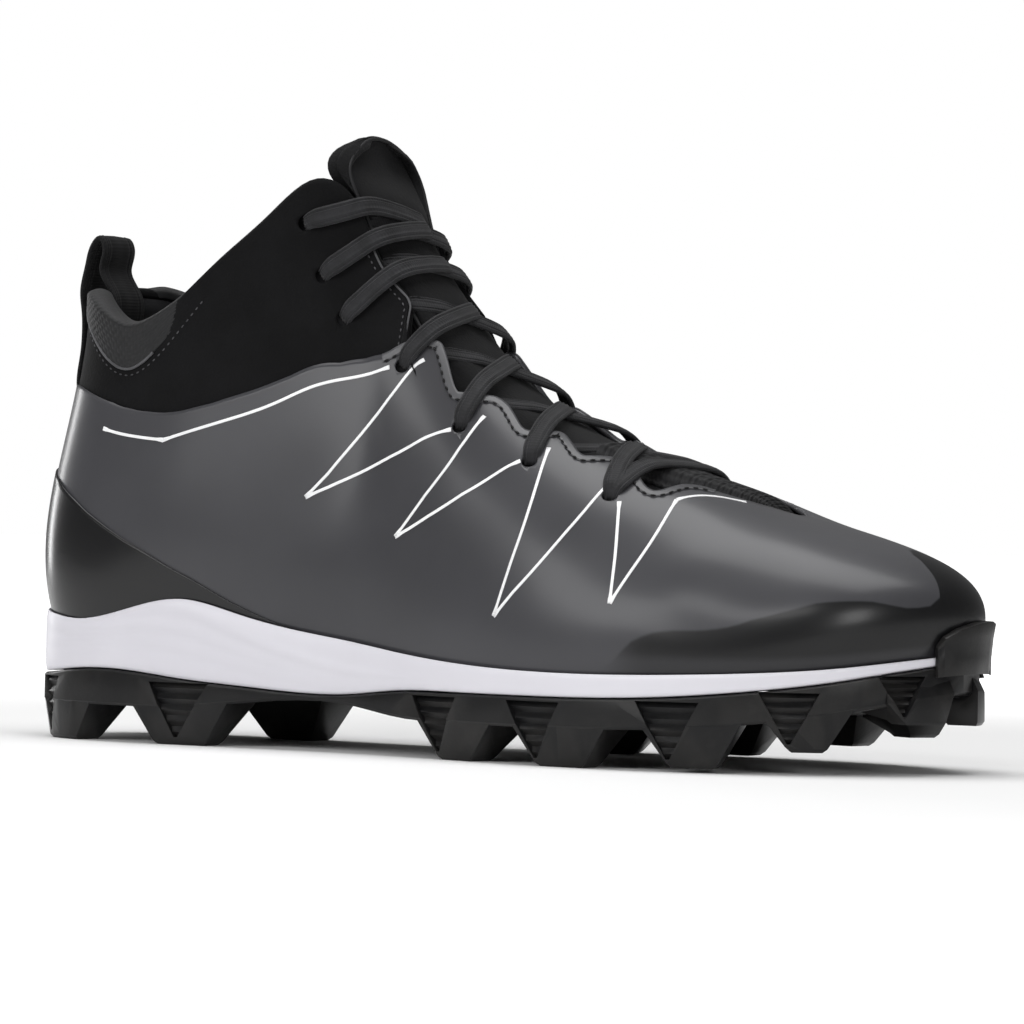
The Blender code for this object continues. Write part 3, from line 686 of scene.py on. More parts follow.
def lay_loft(mesh: bmesh.types.BMesh, sections: Array) -> None:
    """Adds one closed band to a mesh.

    Args:
        mesh: the mesh that takes the band.
        sections: an array of sections, each a closed row of points.
    """
    rounds = np.concatenate([sections, sections[:, :1]], axis=1)
    start = rounds[:1].mean(axis=1, keepdims=True).repeat(rounds.shape[1], axis=1)
    end = rounds[-1:].mean(axis=1, keepdims=True).repeat(rounds.shape[1], axis=1)
    rounds = np.concatenate([start, rounds, end], axis=0)
    length, girth = rounds.shape[0], rounds.shape[1]
    before = len(mesh.verts)
    lay_grid(
        mesh,
        np.arange(length, dtype=float),
        np.arange(girth, dtype=float),
        lambda a, b: rounds[a.astype(int), b.astype(int)],
    )
    mesh.verts.ensure_lookup_table()
    bmesh.ops.remove_doubles(mesh, verts=mesh.verts[before:], dist=WELD)
    mesh.verts.ensure_lookup_table()
    faces = {face for vert in mesh.verts[before:] for face in vert.link_faces}
    bmesh.ops.recalc_face_normals(mesh, faces=list(faces))


class Link:
    """Writes the nodes of one material or node group."""

    def __init__(self, tree: bpy.types.NodeTree) -> None:
        """Keeps the tree that is written to."""
        self.tree = tree

    def node(self, kind: str, settings: dict | None = None, **inputs: object) -> bpy.types.Node:
        """Adds a node.

        Args:
            kind: the node's type.
            settings: attributes of the node.
            inputs: values or sockets for its inputs, by name with underscores for spaces.

        Returns:
            The node.
        """
        made = self.tree.nodes.new(kind)
        for key, value in (settings or {}).items():
            setattr(made, key, value)
        for key, value in inputs.items():
            self.feed(made, key.replace("_", " "), value)
        return made

    def feed(self, node: bpy.types.Node, name: str | int, value: object) -> None:
        """Links a socket to an input, or sets the input to a value."""
        if isinstance(value, bpy.types.NodeSocket):
            self.tree.links.new(value, node.inputs[name])
        else:
            node.inputs[name].default_value = value

    def math(self, operation: str, first: object, second: object = 0.0) -> Socket:
        """The result of one sum on two numbers."""
        made = self.tree.nodes.new("ShaderNodeMath")
        made.operation = operation
        self.feed(made, 0, first)
        self.feed(made, 1, second)
        return made.outputs[0]

    def ramp(self, value: object, low: float, high: float) -> Socket:
        """A soft mask that is 0 below low and 1 above high."""
        made = self.tree.nodes.new("ShaderNodeMapRange")
        made.interpolation_type = "SMOOTHSTEP"
        self.feed(made, "Value", value)
        self.feed(made, "From Min", low)
        self.feed(made, "From Max", high)
        return made.outputs["Result"]

    def mix(self, share: object, first: object, second: object) -> Socket:
        """Two colours mixed by a share."""
        made = self.tree.nodes.new("ShaderNodeMix")
        made.data_type = "RGBA"
        self.feed(made, 0, share)
        self.feed(made, 6, first)
        self.feed(made, 7, second)
        return made.outputs[2]

    def curve(self, value: object, rows: Sequence[tuple[float, float]]) -> Socket:
        """A number read off a drawn curve."""
        made = self.tree.nodes.new("ShaderNodeFloatCurve")
        points = made.mapping.curves[0].points
        points[0].location, points[1].location = rows[0], rows[-1]
        for row in rows[1:-1]:
            points.new(*row)
        made.mapping.update()
        self.feed(made, "Value", value)
        return made.outputs[0]


def new_group(
    name: str, inputs: Sequence[tuple[str, float]], outputs: Sequence[str]
) -> tuple[bpy.types.NodeTree, Link, bpy.types.Node, bpy.types.Node]:
    """Starts a shader node group of numbers.

    Args:
        name: the group's name.
        inputs: name and usual value of each input.
        outputs: name of each output.

    Returns:
        The group's tree, its link writer, its input node and its output node.
    """
    tree = bpy.data.node_groups.new(name, "ShaderNodeTree")
    for label, value in inputs:
        socket = tree.interface.new_socket(label, in_out="INPUT", socket_type="NodeSocketFloat")
        socket.default_value = value
    for label in outputs:
        tree.interface.new_socket(label, in_out="OUTPUT", socket_type="NodeSocketFloat")
    link = Link(tree)
    return tree, link, link.node("NodeGroupInput"), link.node("NodeGroupOutput")


class Effects:
    """The effects that several finishes share, each a node group built once."""

    def __init__(self) -> None:
        """Builds the groups."""
        self.grain = self.make_grain()
        self.weave = self.make_weave()
        self.scuff = self.make_scuff()

    @staticmethod
    def make_grain() -> bpy.types.NodeTree:
        """Fine leather or moulded grain: a height and a slow change of shade."""
        tree, link, given, made = new_group(
            "grain", (("Scale", 900.0), ("Slow", 30.0), ("Fine", 0.7)), ("Height", "Shade")
        )
        place = link.node("ShaderNodeTexCoord").outputs["Object"]
        cells = link.node("ShaderNodeTexVoronoi", {"feature": "SMOOTH_F1"}, Vector=place)
        link.feed(cells, "Scale", given.outputs["Scale"])
        fine = link.node("ShaderNodeTexNoise", Vector=place, Detail=3.0, Roughness=0.6)
        link.feed(fine, "Scale", given.outputs["Scale"])
        slow = link.node("ShaderNodeTexNoise", Vector=place, Detail=4.0, Roughness=0.55)
        link.feed(slow, "Scale", given.outputs["Slow"])
        speckle = link.math("MULTIPLY", fine.outputs[0], given.outputs["Fine"])
        height = link.math("ADD", cells.outputs["Distance"], speckle)
        link.feed(made, "Height", height)
        link.feed(made, "Shade", slow.outputs[0])
        return tree

    @staticmethod
    def make_weave() -> bpy.types.NodeTree:
        """Woven cloth over the piece's own UV map: threads across and along."""
        tree, link, given, made = new_group(
            "weave", (("Along", 40.0), ("Across", 12.0)), ("Height", "Shade")
        )
        both = link.node("ShaderNodeSeparateXYZ", Vector=link.node("ShaderNodeTexCoord").outputs["UV"])
        along = link.math("MULTIPLY", both.outputs["X"], given.outputs["Along"])
        across = link.math("MULTIPLY", both.outputs["Y"], given.outputs["Across"])
        first = link.math("SINE", link.math("ADD", link.math("MULTIPLY", along, 6.2832), across))
        second = link.math("SINE", link.math("MULTIPLY", across, 6.2832))
        twill = link.math("MULTIPLY", first, 0.35)
        height = link.math("ADD", twill, link.math("MULTIPLY", second, 0.65))
        noise = link.node("ShaderNodeTexNoise", Scale=220.0, Detail=3.0)
        link.feed(noise, "Vector", link.node("ShaderNodeTexCoord").outputs["Object"])
        link.feed(made, "Height", link.math("ADD", height, link.math("MULTIPLY", noise.outputs[0], 0.5)))
        link.feed(made, "Shade", noise.outputs[0])
        return tree

    @staticmethod
    def make_scuff() -> bpy.types.NodeTree:
        """Faint dust and rub marks, more on edges that stand out."""
        tree, link, given, made = new_group("scuff", (("Amount", 0.3),), ("Mask",))
        place = link.node("ShaderNodeTexCoord").outputs["Object"]
        cloud = link.node("ShaderNodeTexNoise", Vector=place, Scale=55.0, Detail=8.0, Roughness=0.7)
        sharp = link.ramp(link.node("ShaderNodeNewGeometry").outputs["Pointiness"], 0.505, 0.56)
        patch = link.ramp(cloud.outputs[0], 0.5, 0.72)
        total = link.math("ADD", link.math("MULTIPLY", patch, 0.6), link.math("MULTIPLY", sharp, 0.8))
        link.feed(made, "Mask", link.math("MULTIPLY", total, given.outputs["Amount"]))
        return tree


class Relief(Enum):
    """Which shared effect gives a finish its relief."""

    GRAIN = "grain"
    WEAVE = "weave"


@dataclass(frozen=True)
class Finish:
    """One finish: its colours, gloss and relief, made into a material on request."""

    name: str
    colour: tuple[float, float, float]
    accent: tuple[float, float, float]
    roughness: float
    relief: Relief = Relief.GRAIN
    scale: tuple[float, ...] = (900.0, 30.0)
    bump: float = 0.2
    depth: float = 0.05
    coat: float = 0.0
    coat_roughness: float = 0.1
    sheen: float = 0.0
    dust: float = 0.0
    specular: float = 0.5

    def base(self, link: Link, shade: Socket, mask: Socket) -> Socket:
        """The colour, with dust where the mask says."""
        first = link.mix(link.ramp(shade, 0.3, 0.7), (*self.colour, 1.0), (*self.accent, 1.0))
        return link.mix(mask, first, (0.34, 0.32, 0.29, 1.0))

    def material(self, effects: Effects) -> bpy.types.Material:
        """Builds the material.

        Args:
            effects: the shared node groups.

        Returns:
            The material.
        """
        made = bpy.data.materials.new(self.name)
        made.use_nodes = True
        link = Link(made.node_tree)
        shader = made.node_tree.nodes["Principled BSDF"]
        tree = effects.grain if self.relief is Relief.GRAIN else effects.weave
        names = ("Scale", "Slow", "Fine") if self.relief is Relief.GRAIN else ("Along", "Across")
        effect = link.node("ShaderNodeGroup", {"node_tree": tree})
        for name, value in zip(names, self.scale):
            effect.inputs[name].default_value = value
        scuff = link.node("ShaderNodeGroup", {"node_tree": effects.scuff})
        scuff.inputs["Amount"].default_value = self.dust
        shade, mask = effect.outputs["Shade"], scuff.outputs["Mask"]
        link.feed(shader, "Base Color", self.base(link, shade, mask))
        rough = link.math("MULTIPLY_ADD", shade, 0.16)
        rough.node.inputs[2].default_value = self.roughness - 0.08
        link.feed(shader, "Roughness", link.math("ADD", rough, link.math("MULTIPLY", mask, 0.3)))
        bump = link.node("ShaderNodeBump", Strength=self.bump, Distance=self.depth * MM)
        link.feed(bump, "Height", effect.outputs["Height"])
        link.feed(shader, "Normal", bump.outputs[0])
        shader.inputs["Specular IOR Level"].default_value = self.specular
        shader.inputs["Coat Weight"].default_value = self.coat
        shader.inputs["Coat Roughness"].default_value = self.coat_roughness
        shader.inputs["Sheen Weight"].default_value = self.sheen
        shader.inputs["Sheen Roughness"].default_value = 0.5
        return made


# Top of the quarter's dark band round the toe: shares of LAP, and of the side's height.
TOE_BAND_TOP = (
    (0.0, 0.0), (0.355, 0.02), (0.375, 0.13), (0.39, 0.178), (0.4, 0.187), (0.4215, 0.26),
    (0.4355, 0.313), (0.446, 0.343), (0.4565, 0.343), (0.467, 0.313), (0.477, 0.287),
    (0.483, 0.32), (0.487, 0.46), (0.4925, 0.66), (0.5, 0.70), (1.0, 0.70),
)


@dataclass(frozen=True)
class QuarterFinish(Finish):
    """The coated hide of the quarter and vamp, which darkens towards the sole at the toe, and whose
    forefoot's upper side is painted lighter: partly its own tone, partly painted highlight.
    """

    dark: tuple[float, float, float] = (0.004, 0.004, 0.0045)
    # Lighter tone for the forefoot's upper side: partly the hide's own tone, partly painted highlight
    # where the overhead light falls.
    light: tuple[float, float, float] = (0.072, 0.072, 0.077)

    def masks(self, link: Link) -> tuple[Socket, Socket, Socket]:
        """Where the toe's lower band lies, and where the forefoot's upper side is painted lighter, partly
        as painted highlight.

        Args:
            link: the writer of the material's nodes.

        Returns:
            The band's mask, the share of the forefoot's lighter tone (partly painted highlight), and the
            share of the band's dark.
        """
        both = link.node("ShaderNodeSeparateXYZ", Vector=link.node("ShaderNodeTexCoord").outputs["UV"])
        turn = link.math("SUBTRACT", both.outputs["X"], TOE_STATION)
        row = link.math("DIVIDE", link.math("SUBTRACT", TOE_STATION, link.math("ABSOLUTE", turn)), LAP)
        height = both.outputs["Y"]
        above = link.math("SUBTRACT", link.curve(row, TOE_BAND_TOP), height)
        band = link.math("MULTIPLY", link.ramp(above, -0.012, 0.012), link.ramp(row, 0.355, 0.385))
        low = link.ramp(height, 0.055, 0.10)
        # The forefoot's upper side is painted lighter here: partly its own tone, partly painted
        # highlight.
        lighter = link.math("MULTIPLY", link.ramp(row, 0.26, 0.46), link.ramp(height, 0.25, 0.8))
        return band, lighter, low

    def base(self, link: Link, shade: Socket, mask: Socket) -> Socket:
        """The hide's colour with its darker band and its forefoot's upper side painted lighter (partly
        own tone, partly painted highlight), free of dust.
        """
        band, lighter, low = self.masks(link)
        hide = link.mix(link.ramp(shade, 0.3, 0.7), (*self.colour, 1.0), (*self.accent, 1.0))
        # Painted highlight, partly own tone: the forefoot's upper side is mixed towards the lighter tone.
        hide = link.mix(lighter, hide, (*self.light, 1.0))
        foot = link.mix(low, (0.020, 0.020, 0.022, 1.0), (*self.dark, 1.0))
        inside = link.ramp(band, 0.0, 1.0)
        return link.mix(inside, hide, foot)


# The finishes of the shoe, by the piece that wears them.
HIDE = QuarterFinish("coated_hide", (0.039, 0.039, 0.043), (0.048, 0.048, 0.053), 0.34,
                     scale=(1500.0, 14.0), bump=0.12, depth=0.05, coat=0.2, coat_roughness=0.2,
                     specular=0.28)
PATENT = Finish("glossy_counter", (0.003, 0.003, 0.0035), (0.005, 0.005, 0.0055), 0.24,
                scale=(1800.0, 12.0), bump=0.06, depth=0.03, coat=0.22, coat_roughness=0.26,
                specular=0.35)
CUFF_CLOTH = Finish("cuff_cloth", (0.0035, 0.0035, 0.0038), (0.0060, 0.0060, 0.0065), 0.9,
                    scale=(1300.0, 60.0), bump=0.5, depth=0.16, sheen=0.02, specular=0.12)
PAD_CLOTH = Finish("pebbled_pad", (0.0055, 0.0055, 0.006), (0.010, 0.010, 0.011), 0.66,
                   scale=(1300.0, 40.0), bump=0.4, depth=0.12, sheen=0.05, specular=0.35)
LINING_CLOTH = Finish("lining_cloth", (0.010, 0.010, 0.011), (0.016, 0.016, 0.017), 0.9,
                      scale=(1500.0, 50.0), bump=0.5, depth=0.15, sheen=0.05, specular=0.15)
TONGUE_CLOTH = Finish("tongue_cloth", (0.0045, 0.0045, 0.005), (0.008, 0.008, 0.0085), 0.88,
                      scale=(1400.0, 60.0), bump=0.5, depth=0.18, sheen=0.04, specular=0.15)
TONGUE_EDGING = Finish("tongue_edging", (0.010, 0.010, 0.011), (0.018, 0.018, 0.019), 0.6,
                       scale=(1400.0, 60.0), bump=0.3, depth=0.1, specular=0.25)
RIB_CLOTH = Finish("ribbed_cloth", (0.006, 0.006, 0.0065), (0.012, 0.012, 0.013), 0.85,
                   relief=Relief.WEAVE, scale=(14.0, 3.0), bump=0.8, depth=0.4, sheen=0.05, specular=0.2)
LACE_CLOTH = Finish("lace_weave", (0.008, 0.008, 0.009), (0.017, 0.017, 0.019), 0.72,
                    relief=Relief.WEAVE, scale=(0.9, 0.5), bump=0.5, depth=0.12, sheen=0.06, specular=0.3)
BINDING_HIDE = Finish("binding_hide", (0.050, 0.050, 0.054), (0.066, 0.066, 0.071), 0.42,
                      scale=(1600.0, 20.0), bump=0.15, depth=0.06, coat=0.15, coat_roughness=0.3)
WEBBING = Finish("loop_webbing", (0.004, 0.004, 0.0045), (0.008, 0.008, 0.0085), 0.8,
                 relief=Relief.WEAVE, scale=(0.8, 0.6), bump=0.6, depth=0.15, sheen=0.04, specular=0.2)
FOAM = Finish("white_foam", (0.60, 0.59, 0.635), (0.66, 0.65, 0.695), 0.45,
              scale=(2200.0, 9.0), bump=0.10, depth=0.04, coat=0.03, dust=0.04)
RUBBER = Finish("black_rubber", (0.0045, 0.0045, 0.005), (0.009, 0.009, 0.0095), 0.34,
                scale=(1100.0, 26.0), bump=0.2, depth=0.08, dust=0.03, specular=0.22)
FOOTBED_CLOTH = Finish("footbed_cloth", (0.008, 0.008, 0.009), (0.014, 0.014, 0.015), 0.9,
                       scale=(1200.0, 45.0), bump=0.5, depth=0.15, sheen=0.03, specular=0.15)
INK = Finish("white_ink", (0.80, 0.80, 0.81), (0.86, 0.86, 0.86), 0.4, scale=(1500.0, 30.0),
             bump=0.1, depth=0.03)
DARK_THREAD = Finish("dark_thread", (0.006, 0.006, 0.006), (0.012, 0.012, 0.012), 0.7,
                     scale=(2500.0, 200.0), bump=0.3, depth=0.05, specular=0.2)
GREY_THREAD = Finish("grey_thread", (0.045, 0.045, 0.048), (0.08, 0.08, 0.085), 0.7,
                     scale=(2500.0, 200.0), bump=0.3, depth=0.05, specular=0.2)
PIPING_CLOTH = Finish("piping_cloth", (0.05, 0.05, 0.053), (0.08, 0.08, 0.085), 0.55,
                      scale=(1500.0, 80.0), bump=0.2, depth=0.05, specular=0.3)


class Stitcher:
    """Sews rows of stitches: each a small flattened bead lying along its row."""

    def __init__(self, name: str) -> None:
        """Starts a row set under a name."""
        self.name = name
        self.mesh = bmesh.new()

    def row(self, points: Array, normals: Array, pitch: float, length: float, thick: float) -> None:
        """Sews one row.

        Args:
            points: the row's path in millimetres.
            normals: the direction out of the cloth at each point.
            pitch: from one stitch to the next.
            length: of one stitch.
            thick: of the thread.
        """
        keys = chord_keys(points)
        for place in np.arange(pitch / 2, keys[-1], pitch):
            ahead = unit(read_row(points, keys, place + 0.2) - read_row(points, keys, place - 0.2))
            side = unit(np.cross(read_row(normals, keys, place), ahead))
            up = np.cross(ahead, side)
            middle = (read_row(points, keys, place) - ORIGIN) * MM
            sizes = (0.5 * length, 0.5 * thick, 0.35 * thick)
            turn = np.eye(4)
            for k, (axis, size) in enumerate(zip((ahead, side, up), sizes)):
                turn[:3, k] = axis * size * MM
            turn[:3, 3] = middle
            bmesh.ops.create_uvsphere(
                self.mesh, u_segments=6, v_segments=4, radius=1.0, matrix=Matrix(turn.tolist())
            )

    def on_last(self, line: Array, offset: float, pitch: float, length: float, thick: float) -> None:
        """Sews one row along a line drawn on the last's side."""
        points = LAST.skin(line[:, 0], line[:, 1], offset)
        self.row(points, LAST.normal(line[:, 0], line[:, 1]), pitch, length, thick)

    def finish(self, material: bpy.types.Material) -> bpy.types.Object:
        """Puts the stitches into the scene."""
        piece = add_object(self.name, self.mesh)
        dress(piece, material)
        return piece


def other_side(line: Array) -> Array:
    """The same line on the inner side of the shoe, run the other way."""
    flipped = line[::-1].copy()
    flipped[:, 0] = LAP - flipped[:, 0]
    return flipped


@dataclass
class Upper:
    """The quarter, cuff, lining, pad, counter, binding and printed line."""

    effects: Effects
    quarter_thick: float = 1.4
    cuff_thick: float = 1.0
    lining_thick: float = 0.6
    binding_width: float = 2.5
    stroke_width: float = 0.85
    hole_radius: float = 2.3
    pad_rounding: float = 0.12
    knee: float = 0.6
    knee_height: float = 0.5
    tuck: float = 0.07
    pebbles_up: float = 9.0
    pebbles_along: float = 6.0
    pebble_rise: float = 0.30
    piping_radius: float = 0.42
    throat_stitch: Stitch = (2.7, 1.75, 0.75)
    pad_stitch: Stitch = (2.3, 1.2, 0.5)
    flap_stitch: Stitch = (2.0, 1.1, 0.5)

    @staticmethod
    def columns() -> Array:
        """Stations of the columns: close together where the throat is stepped."""
        half = np.concatenate(
            [np.arange(0, 9.6, 0.16), np.arange(9.6, 16.4, 0.05), np.arange(16.4, TOE_STATION, 0.12)]
        )
        return np.concatenate([half, [TOE_STATION], LAP - half[::-1]])

    def quarter_top(self, station: Array) -> Array:
        """Height of the quarter's edge."""
        return QUARTER_TOP.softened("height", side_station(station), 0.07)

    def build_quarter(self) -> bpy.types.Object:
        """The coated quarter and vamp in one sheet, stepped along the throat."""
        rows = np.concatenate([np.linspace(0, self.knee, 22)[:-1], np.linspace(self.knee, 1.0, 16)])

        def place(station: Array, share: Array) -> Array:
            """Points of the quarter's outer face: station, and share of the grid's rows."""
            height = self.quarter_height(station, share)
            return LAST.skin(station, height, SKIN + crease(station, height))

        piece = sheet("quarter", self.columns(), rows, place, weld=True)
        self.map_heights(piece)
        thicken(piece, self.quarter_thick)
        return piece

    def quarter_height(self, station: Array, share: Array) -> Array:
        """Height of the quarter's rows, which follow the stepped edge only above the knee."""
        low = share / self.knee * self.knee_height
        reach = self.quarter_top(station) - self.knee_height
        high = self.knee_height + reach * (share - self.knee) / (1 - self.knee)
        return np.where(share < self.knee, low, high)

    def map_heights(self, piece: bpy.types.Object) -> None:
        """Turns the quarter's UV map from grid rows to shares of the side's height."""
        data = piece.data.uv_layers[0].data
        flat = np.empty(len(data) * 2)
        data.foreach_get("uv", flat)
        both = flat.reshape(-1, 2)
        both[:, 1] = self.quarter_height(both[:, 0], both[:, 1])
        data.foreach_set("uv", both.ravel())

    def cuff_edge(self, station: Array) -> tuple[Array, Array]:
        """Where the cuff's edge stands over each place of its base line."""
        row = side_station(station)
        edge = CUFF_TOP.softened("station", row, 0.05)
        height = CUFF_TOP.softened("height", row, 0.05)
        plain = 1.0 - 0.015 * blend(8.6, 9.0, row)
        inner = station > TOE_STATION
        return np.where(inner, station, edge), np.where(inner, plain, height)

    def build_cuff(self) -> bpy.types.Object:
        """The cloth cuff, from under the quarter up and over the padded collar."""
        first = np.concatenate([np.arange(0, 8.4, 0.16), np.arange(8.4, 11.1, 0.05)])
        columns = np.concatenate([-first[:0:-1], first])
        outer, rim = np.linspace(0, 1, 20), np.linspace(1.1, 2.0, 9)
        rows = np.concatenate([outer, rim, [2.2, 2.4]])

        def place(station: Array, share: Array) -> Array:
            """Points of the cuff: share 0 to 1 up the outside, to 2 over the rim, then inside."""
            station = np.where(station < 0, station + LAP, station)
            edge, top = self.cuff_edge(station)
            low = np.minimum(self.quarter_top(station), top) - self.tuck
            up = np.clip(share, 0, 1)
            height = low + (top - low) * up
            where = station + (edge - station) * up**2
            thick = WALL + padding(where, height)
            angle = np.pi * np.clip(share - 1, 0, 1)
            lift = -0.5 * thick * (1 - np.cos(angle))
            height = height + 0.014 * np.sin(angle) - 0.03 * np.clip(share - 2, 0, 1)
            where = np.mod(where, LAP)
            return LAST.skin(where, height, lift + 0.05)

        piece = sheet("cuff", columns, rows, place, weld=True)
        thicken(piece, self.cuff_thick)
        return piece

    def build_lining(self) -> bpy.types.Object:
        """The lining inside the upper, from the collar down to the footbed."""
        columns = np.linspace(0, LAP, 201)

        def place(station: Array, share: Array) -> Array:
            """Points of the lining's inner face: station, and share of its height."""
            row = side_station(station)
            top = np.where(row < 9.0, 0.985, np.minimum(self.quarter_top(station) - 0.01, 0.985))
            top = np.where((row >= 8.6) & (row < 11.2), np.maximum(top, 0.84), top)
            height = share * top
            return LAST.skin(station, height, -(WALL + padding(station, height)) + 0.1)

        piece = sheet("lining", columns, np.linspace(0, 1, 30), place, weld=True)
        thicken(piece, self.lining_thick, 1.0)
        return piece

    def build_counter(self) -> bpy.types.Object:
        """The glossy panel round the back of the heel, laid over the quarter."""
        half = np.arange(0, 7.4, 0.1)
        columns = np.concatenate([-half[:0:-1], half])

        def place(station: Array, share: Array) -> Array:
            """Points of the panel: station from the heel, minus on the inner side, and share."""
            height = share * HEEL_PANEL_TOP.softened("height", np.abs(station), 0.15)
            where = np.mod(station, LAP)
            return LAST.skin(where, height, SKIN + 0.55 + crease(where, height))

        piece = sheet("heel_counter", columns, np.linspace(0.0, 1, 26), place)
        thicken(piece, 0.6)
        return piece

    def build_pad(self, inner: bool) -> bpy.types.Object:
        """The pebbled pad over the collar behind one ankle."""
        columns = np.linspace(1.2, 6.4, 230)
        rows = np.concatenate([np.linspace(0, 1, 34), np.linspace(1.04, 2.3, 30)])

        def place(station: Array, share: Array) -> Array:
            """Points of the pad: share 0 to 1 up the outside, to 2 over the rim, then inside."""
            low = PAD_FOOT.softened("height", station, self.pad_rounding)
            where = LAP - station if inner else station
            up = np.clip(share, 0, 1)
            top = np.interp(station, CUFF_TOP.column("base"), CUFF_TOP.column("height"))
            height = low + (top - low) * up
            thick = WALL + padding(where, height)
            angle = np.pi * np.clip(share - 1, 0, 1)
            fade = blend(1.2, 2.0, station) * (1 - blend(4.3, 5.7, station))
            swell = -0.9 + fade * (1.2 + 0.75 * np.sin(np.pi * np.clip(share / 2.3, 0, 1)) ** 0.7)
            across, along = share * self.pebbles_up, station * self.pebbles_along
            along = along + 0.5 * np.floor(across)
            pebble = np.abs(np.sin(np.pi * along) * np.sin(np.pi * across)) ** 0.6
            swell = swell + self.pebble_rise * fade * pebble * (1 - blend(1.1, 1.4, share))
            lift = -0.5 * thick + (0.5 * thick + swell) * np.cos(angle)
            over = 0.006 * fade + (0.012 + 0.006 * fade) * np.sin(angle)
            height = height + over * up - 0.05 * np.clip(share - 2, 0, 1)
            return LAST.skin(where, height, lift)

        name = "collar_pad_inner" if inner else "collar_pad_outer"
        piece = sheet(name, columns, rows, place)
        if inner:
            piece.data.flip_normals()
        thicken(piece, 0.7)
        return piece

    def pad_line(self) -> Array:
        """The pad's lower edge as a smooth line on the last."""
        station = np.linspace(1.35, 6.2, 160)
        height = PAD_FOOT.softened("height", station, self.pad_rounding)
        return np.stack([station, height], axis=-1)

    def throat_line(self) -> Array:
        """The quarter's edge from the cuff to the toe end of the throat."""
        station = np.linspace(9.9, 16.3, 760)
        return np.stack([station, self.quarter_top(station)], axis=-1)

    def build_ribbon(
        self, name: str, lines: Sequence[tuple[Array, Array]], lift: float, thick: float
    ) -> bpy.types.Object:
        """Flat ribbons on the last, each between two lines.

        Args:
            name: the piece's name.
            lines: the right and the left edge of each ribbon, as stations and heights.
            lift: height of their outer face over the last.
            thick: their thickness.

        Returns:
            The new object.
        """
        mesh = bmesh.new()
        for right, left in lines:

            def place(number: Array, share: Array) -> Array:
                """Points of the ribbon: which point of its edges, and the share across."""
                i = number.astype(int)
                both = right[i] + (left[i] - right[i]) * share[:, None]
                over = lift + crease(both[:, 0], both[:, 1])
                return LAST.skin(both[:, 0], both[:, 1], over)

            numbers = np.arange(len(right), dtype=float)
            lay_grid(mesh, numbers, np.linspace(0, 1, 5), place)
        piece = add_object(name, mesh)
        thicken(piece, thick)
        return piece

    @staticmethod
    def inner_end(line: Array) -> int:
        """How many points of a throat line are worn on the inner side."""
        return int(np.searchsorted(line[:, 0], 15.3))

    def build_binding(self) -> bpy.types.Object:
        """The lighter turned edge along the throat's steps."""
        line = self.throat_line()
        inside = LAST.shift(line, -self.binding_width)
        short = self.inner_end(line)
        pairs = [(inside, line), (other_side(inside[:short]), other_side(line[:short]))]
        return self.build_ribbon("throat_binding", pairs, SKIN + 0.35, 0.5)

    def flap_line(self) -> Array:
        """The edge of the cuff's flap over the throat."""
        edge, height = self.cuff_edge(np.linspace(9.3, 10.98, 240))
        return np.stack([edge, height], axis=-1)

    def build_edging(self) -> bpy.types.Object:
        """The thin raised edge of the cuff's flaps, in the lighter piping cloth: a real edging whose
        lighter colour also stands in for the highlight along the fold (painted highlight).
        """
        line = self.flap_line()
        inside = LAST.shift(line, -0.55)
        return self.build_ribbon("flap_edging", [(inside, line)], 0.32, 0.4)

    def stroke_lines(self) -> list[tuple[Array, Array]]:
        """Both edges of every stroke of the printed zigzag, on both sides of the shoe."""
        lines = []
        for stroke in STROKES:
            line = refine(np.array(stroke), 60)
            keys = chord_keys(LAST.point(line[:, 0], line[:, 1]))
            tip = 1 - blend(0.5, 3.0, np.minimum(keys, keys[-1] - keys))
            half = 0.5 * self.stroke_width * (1 + 0.5 * tip)
            left, right = LAST.shift(line, half), LAST.shift(line, -half)
            lines.append((right, left))
            lines.append((other_side(right), other_side(left)))
        return lines

    def punch(self, piece: bpy.types.Object, rolled: bool) -> None:
        """Cuts the eyelet holes through a piece.

        Args:
            piece: the piece, a sheet with its thickness.
            rolled: whether its sheet turns back and touches itself.
        """
        mesh = bmesh.new()
        for station, height in zip(EYELETS.column("station"), EYELETS.column("height")):
            for where in (station, LAP - station):
                middle = LAST.point(np.array(where), np.array(height))
                out = LAST.normal(np.array(where), np.array(height))
                turn = Vector(out).to_track_quat("Z", "Y").to_matrix().to_4x4()
                turn.translation = Vector((middle - ORIGIN) * MM)
                bmesh.ops.create_cone(
                    mesh, cap_ends=True, segments=24, radius1=self.hole_radius * MM,
                    radius2=self.hole_radius * MM, depth=16 * MM, matrix=turn,
                )
        cutter = add_object("eyelet_cutter", mesh)
        modifier = piece.modifiers.new("eyelets", "BOOLEAN")
        modifier.operation = "DIFFERENCE"
        modifier.solver = "EXACT"
        modifier.use_self = rolled
        modifier.object = cutter
        result = piece.evaluated_get(bpy.context.evaluated_depsgraph_get())
        data = bpy.data.meshes.new_from_object(result)
        piece.modifiers.clear()
        piece.data = data
        bpy.data.objects.remove(cutter)

    def sew(self) -> None:
        """The rows of stitches along the throat, the cuff's flaps and the pads."""
        dark = Stitcher("throat_stitching")
        line = LAST.shift(self.throat_line(), -self.binding_width + 0.1)
        for row in (line, other_side(line[: self.inner_end(line)])):
            dark.on_last(row, SKIN + 0.42, *self.throat_stitch)
        dark.finish(DARK_THREAD.material(self.effects))
        grey = Stitcher("cuff_stitching")
        pad = LAST.shift(self.pad_line(), -1.8)[:140]
        for row in (pad, other_side(pad)):
            grey.on_last(row, 0.1, *self.pad_stitch)
        grey.on_last(LAST.shift(self.flap_line(), -2.0)[12:], 0.12, *self.flap_stitch)
        grey.finish(GREY_THREAD.material(self.effects))

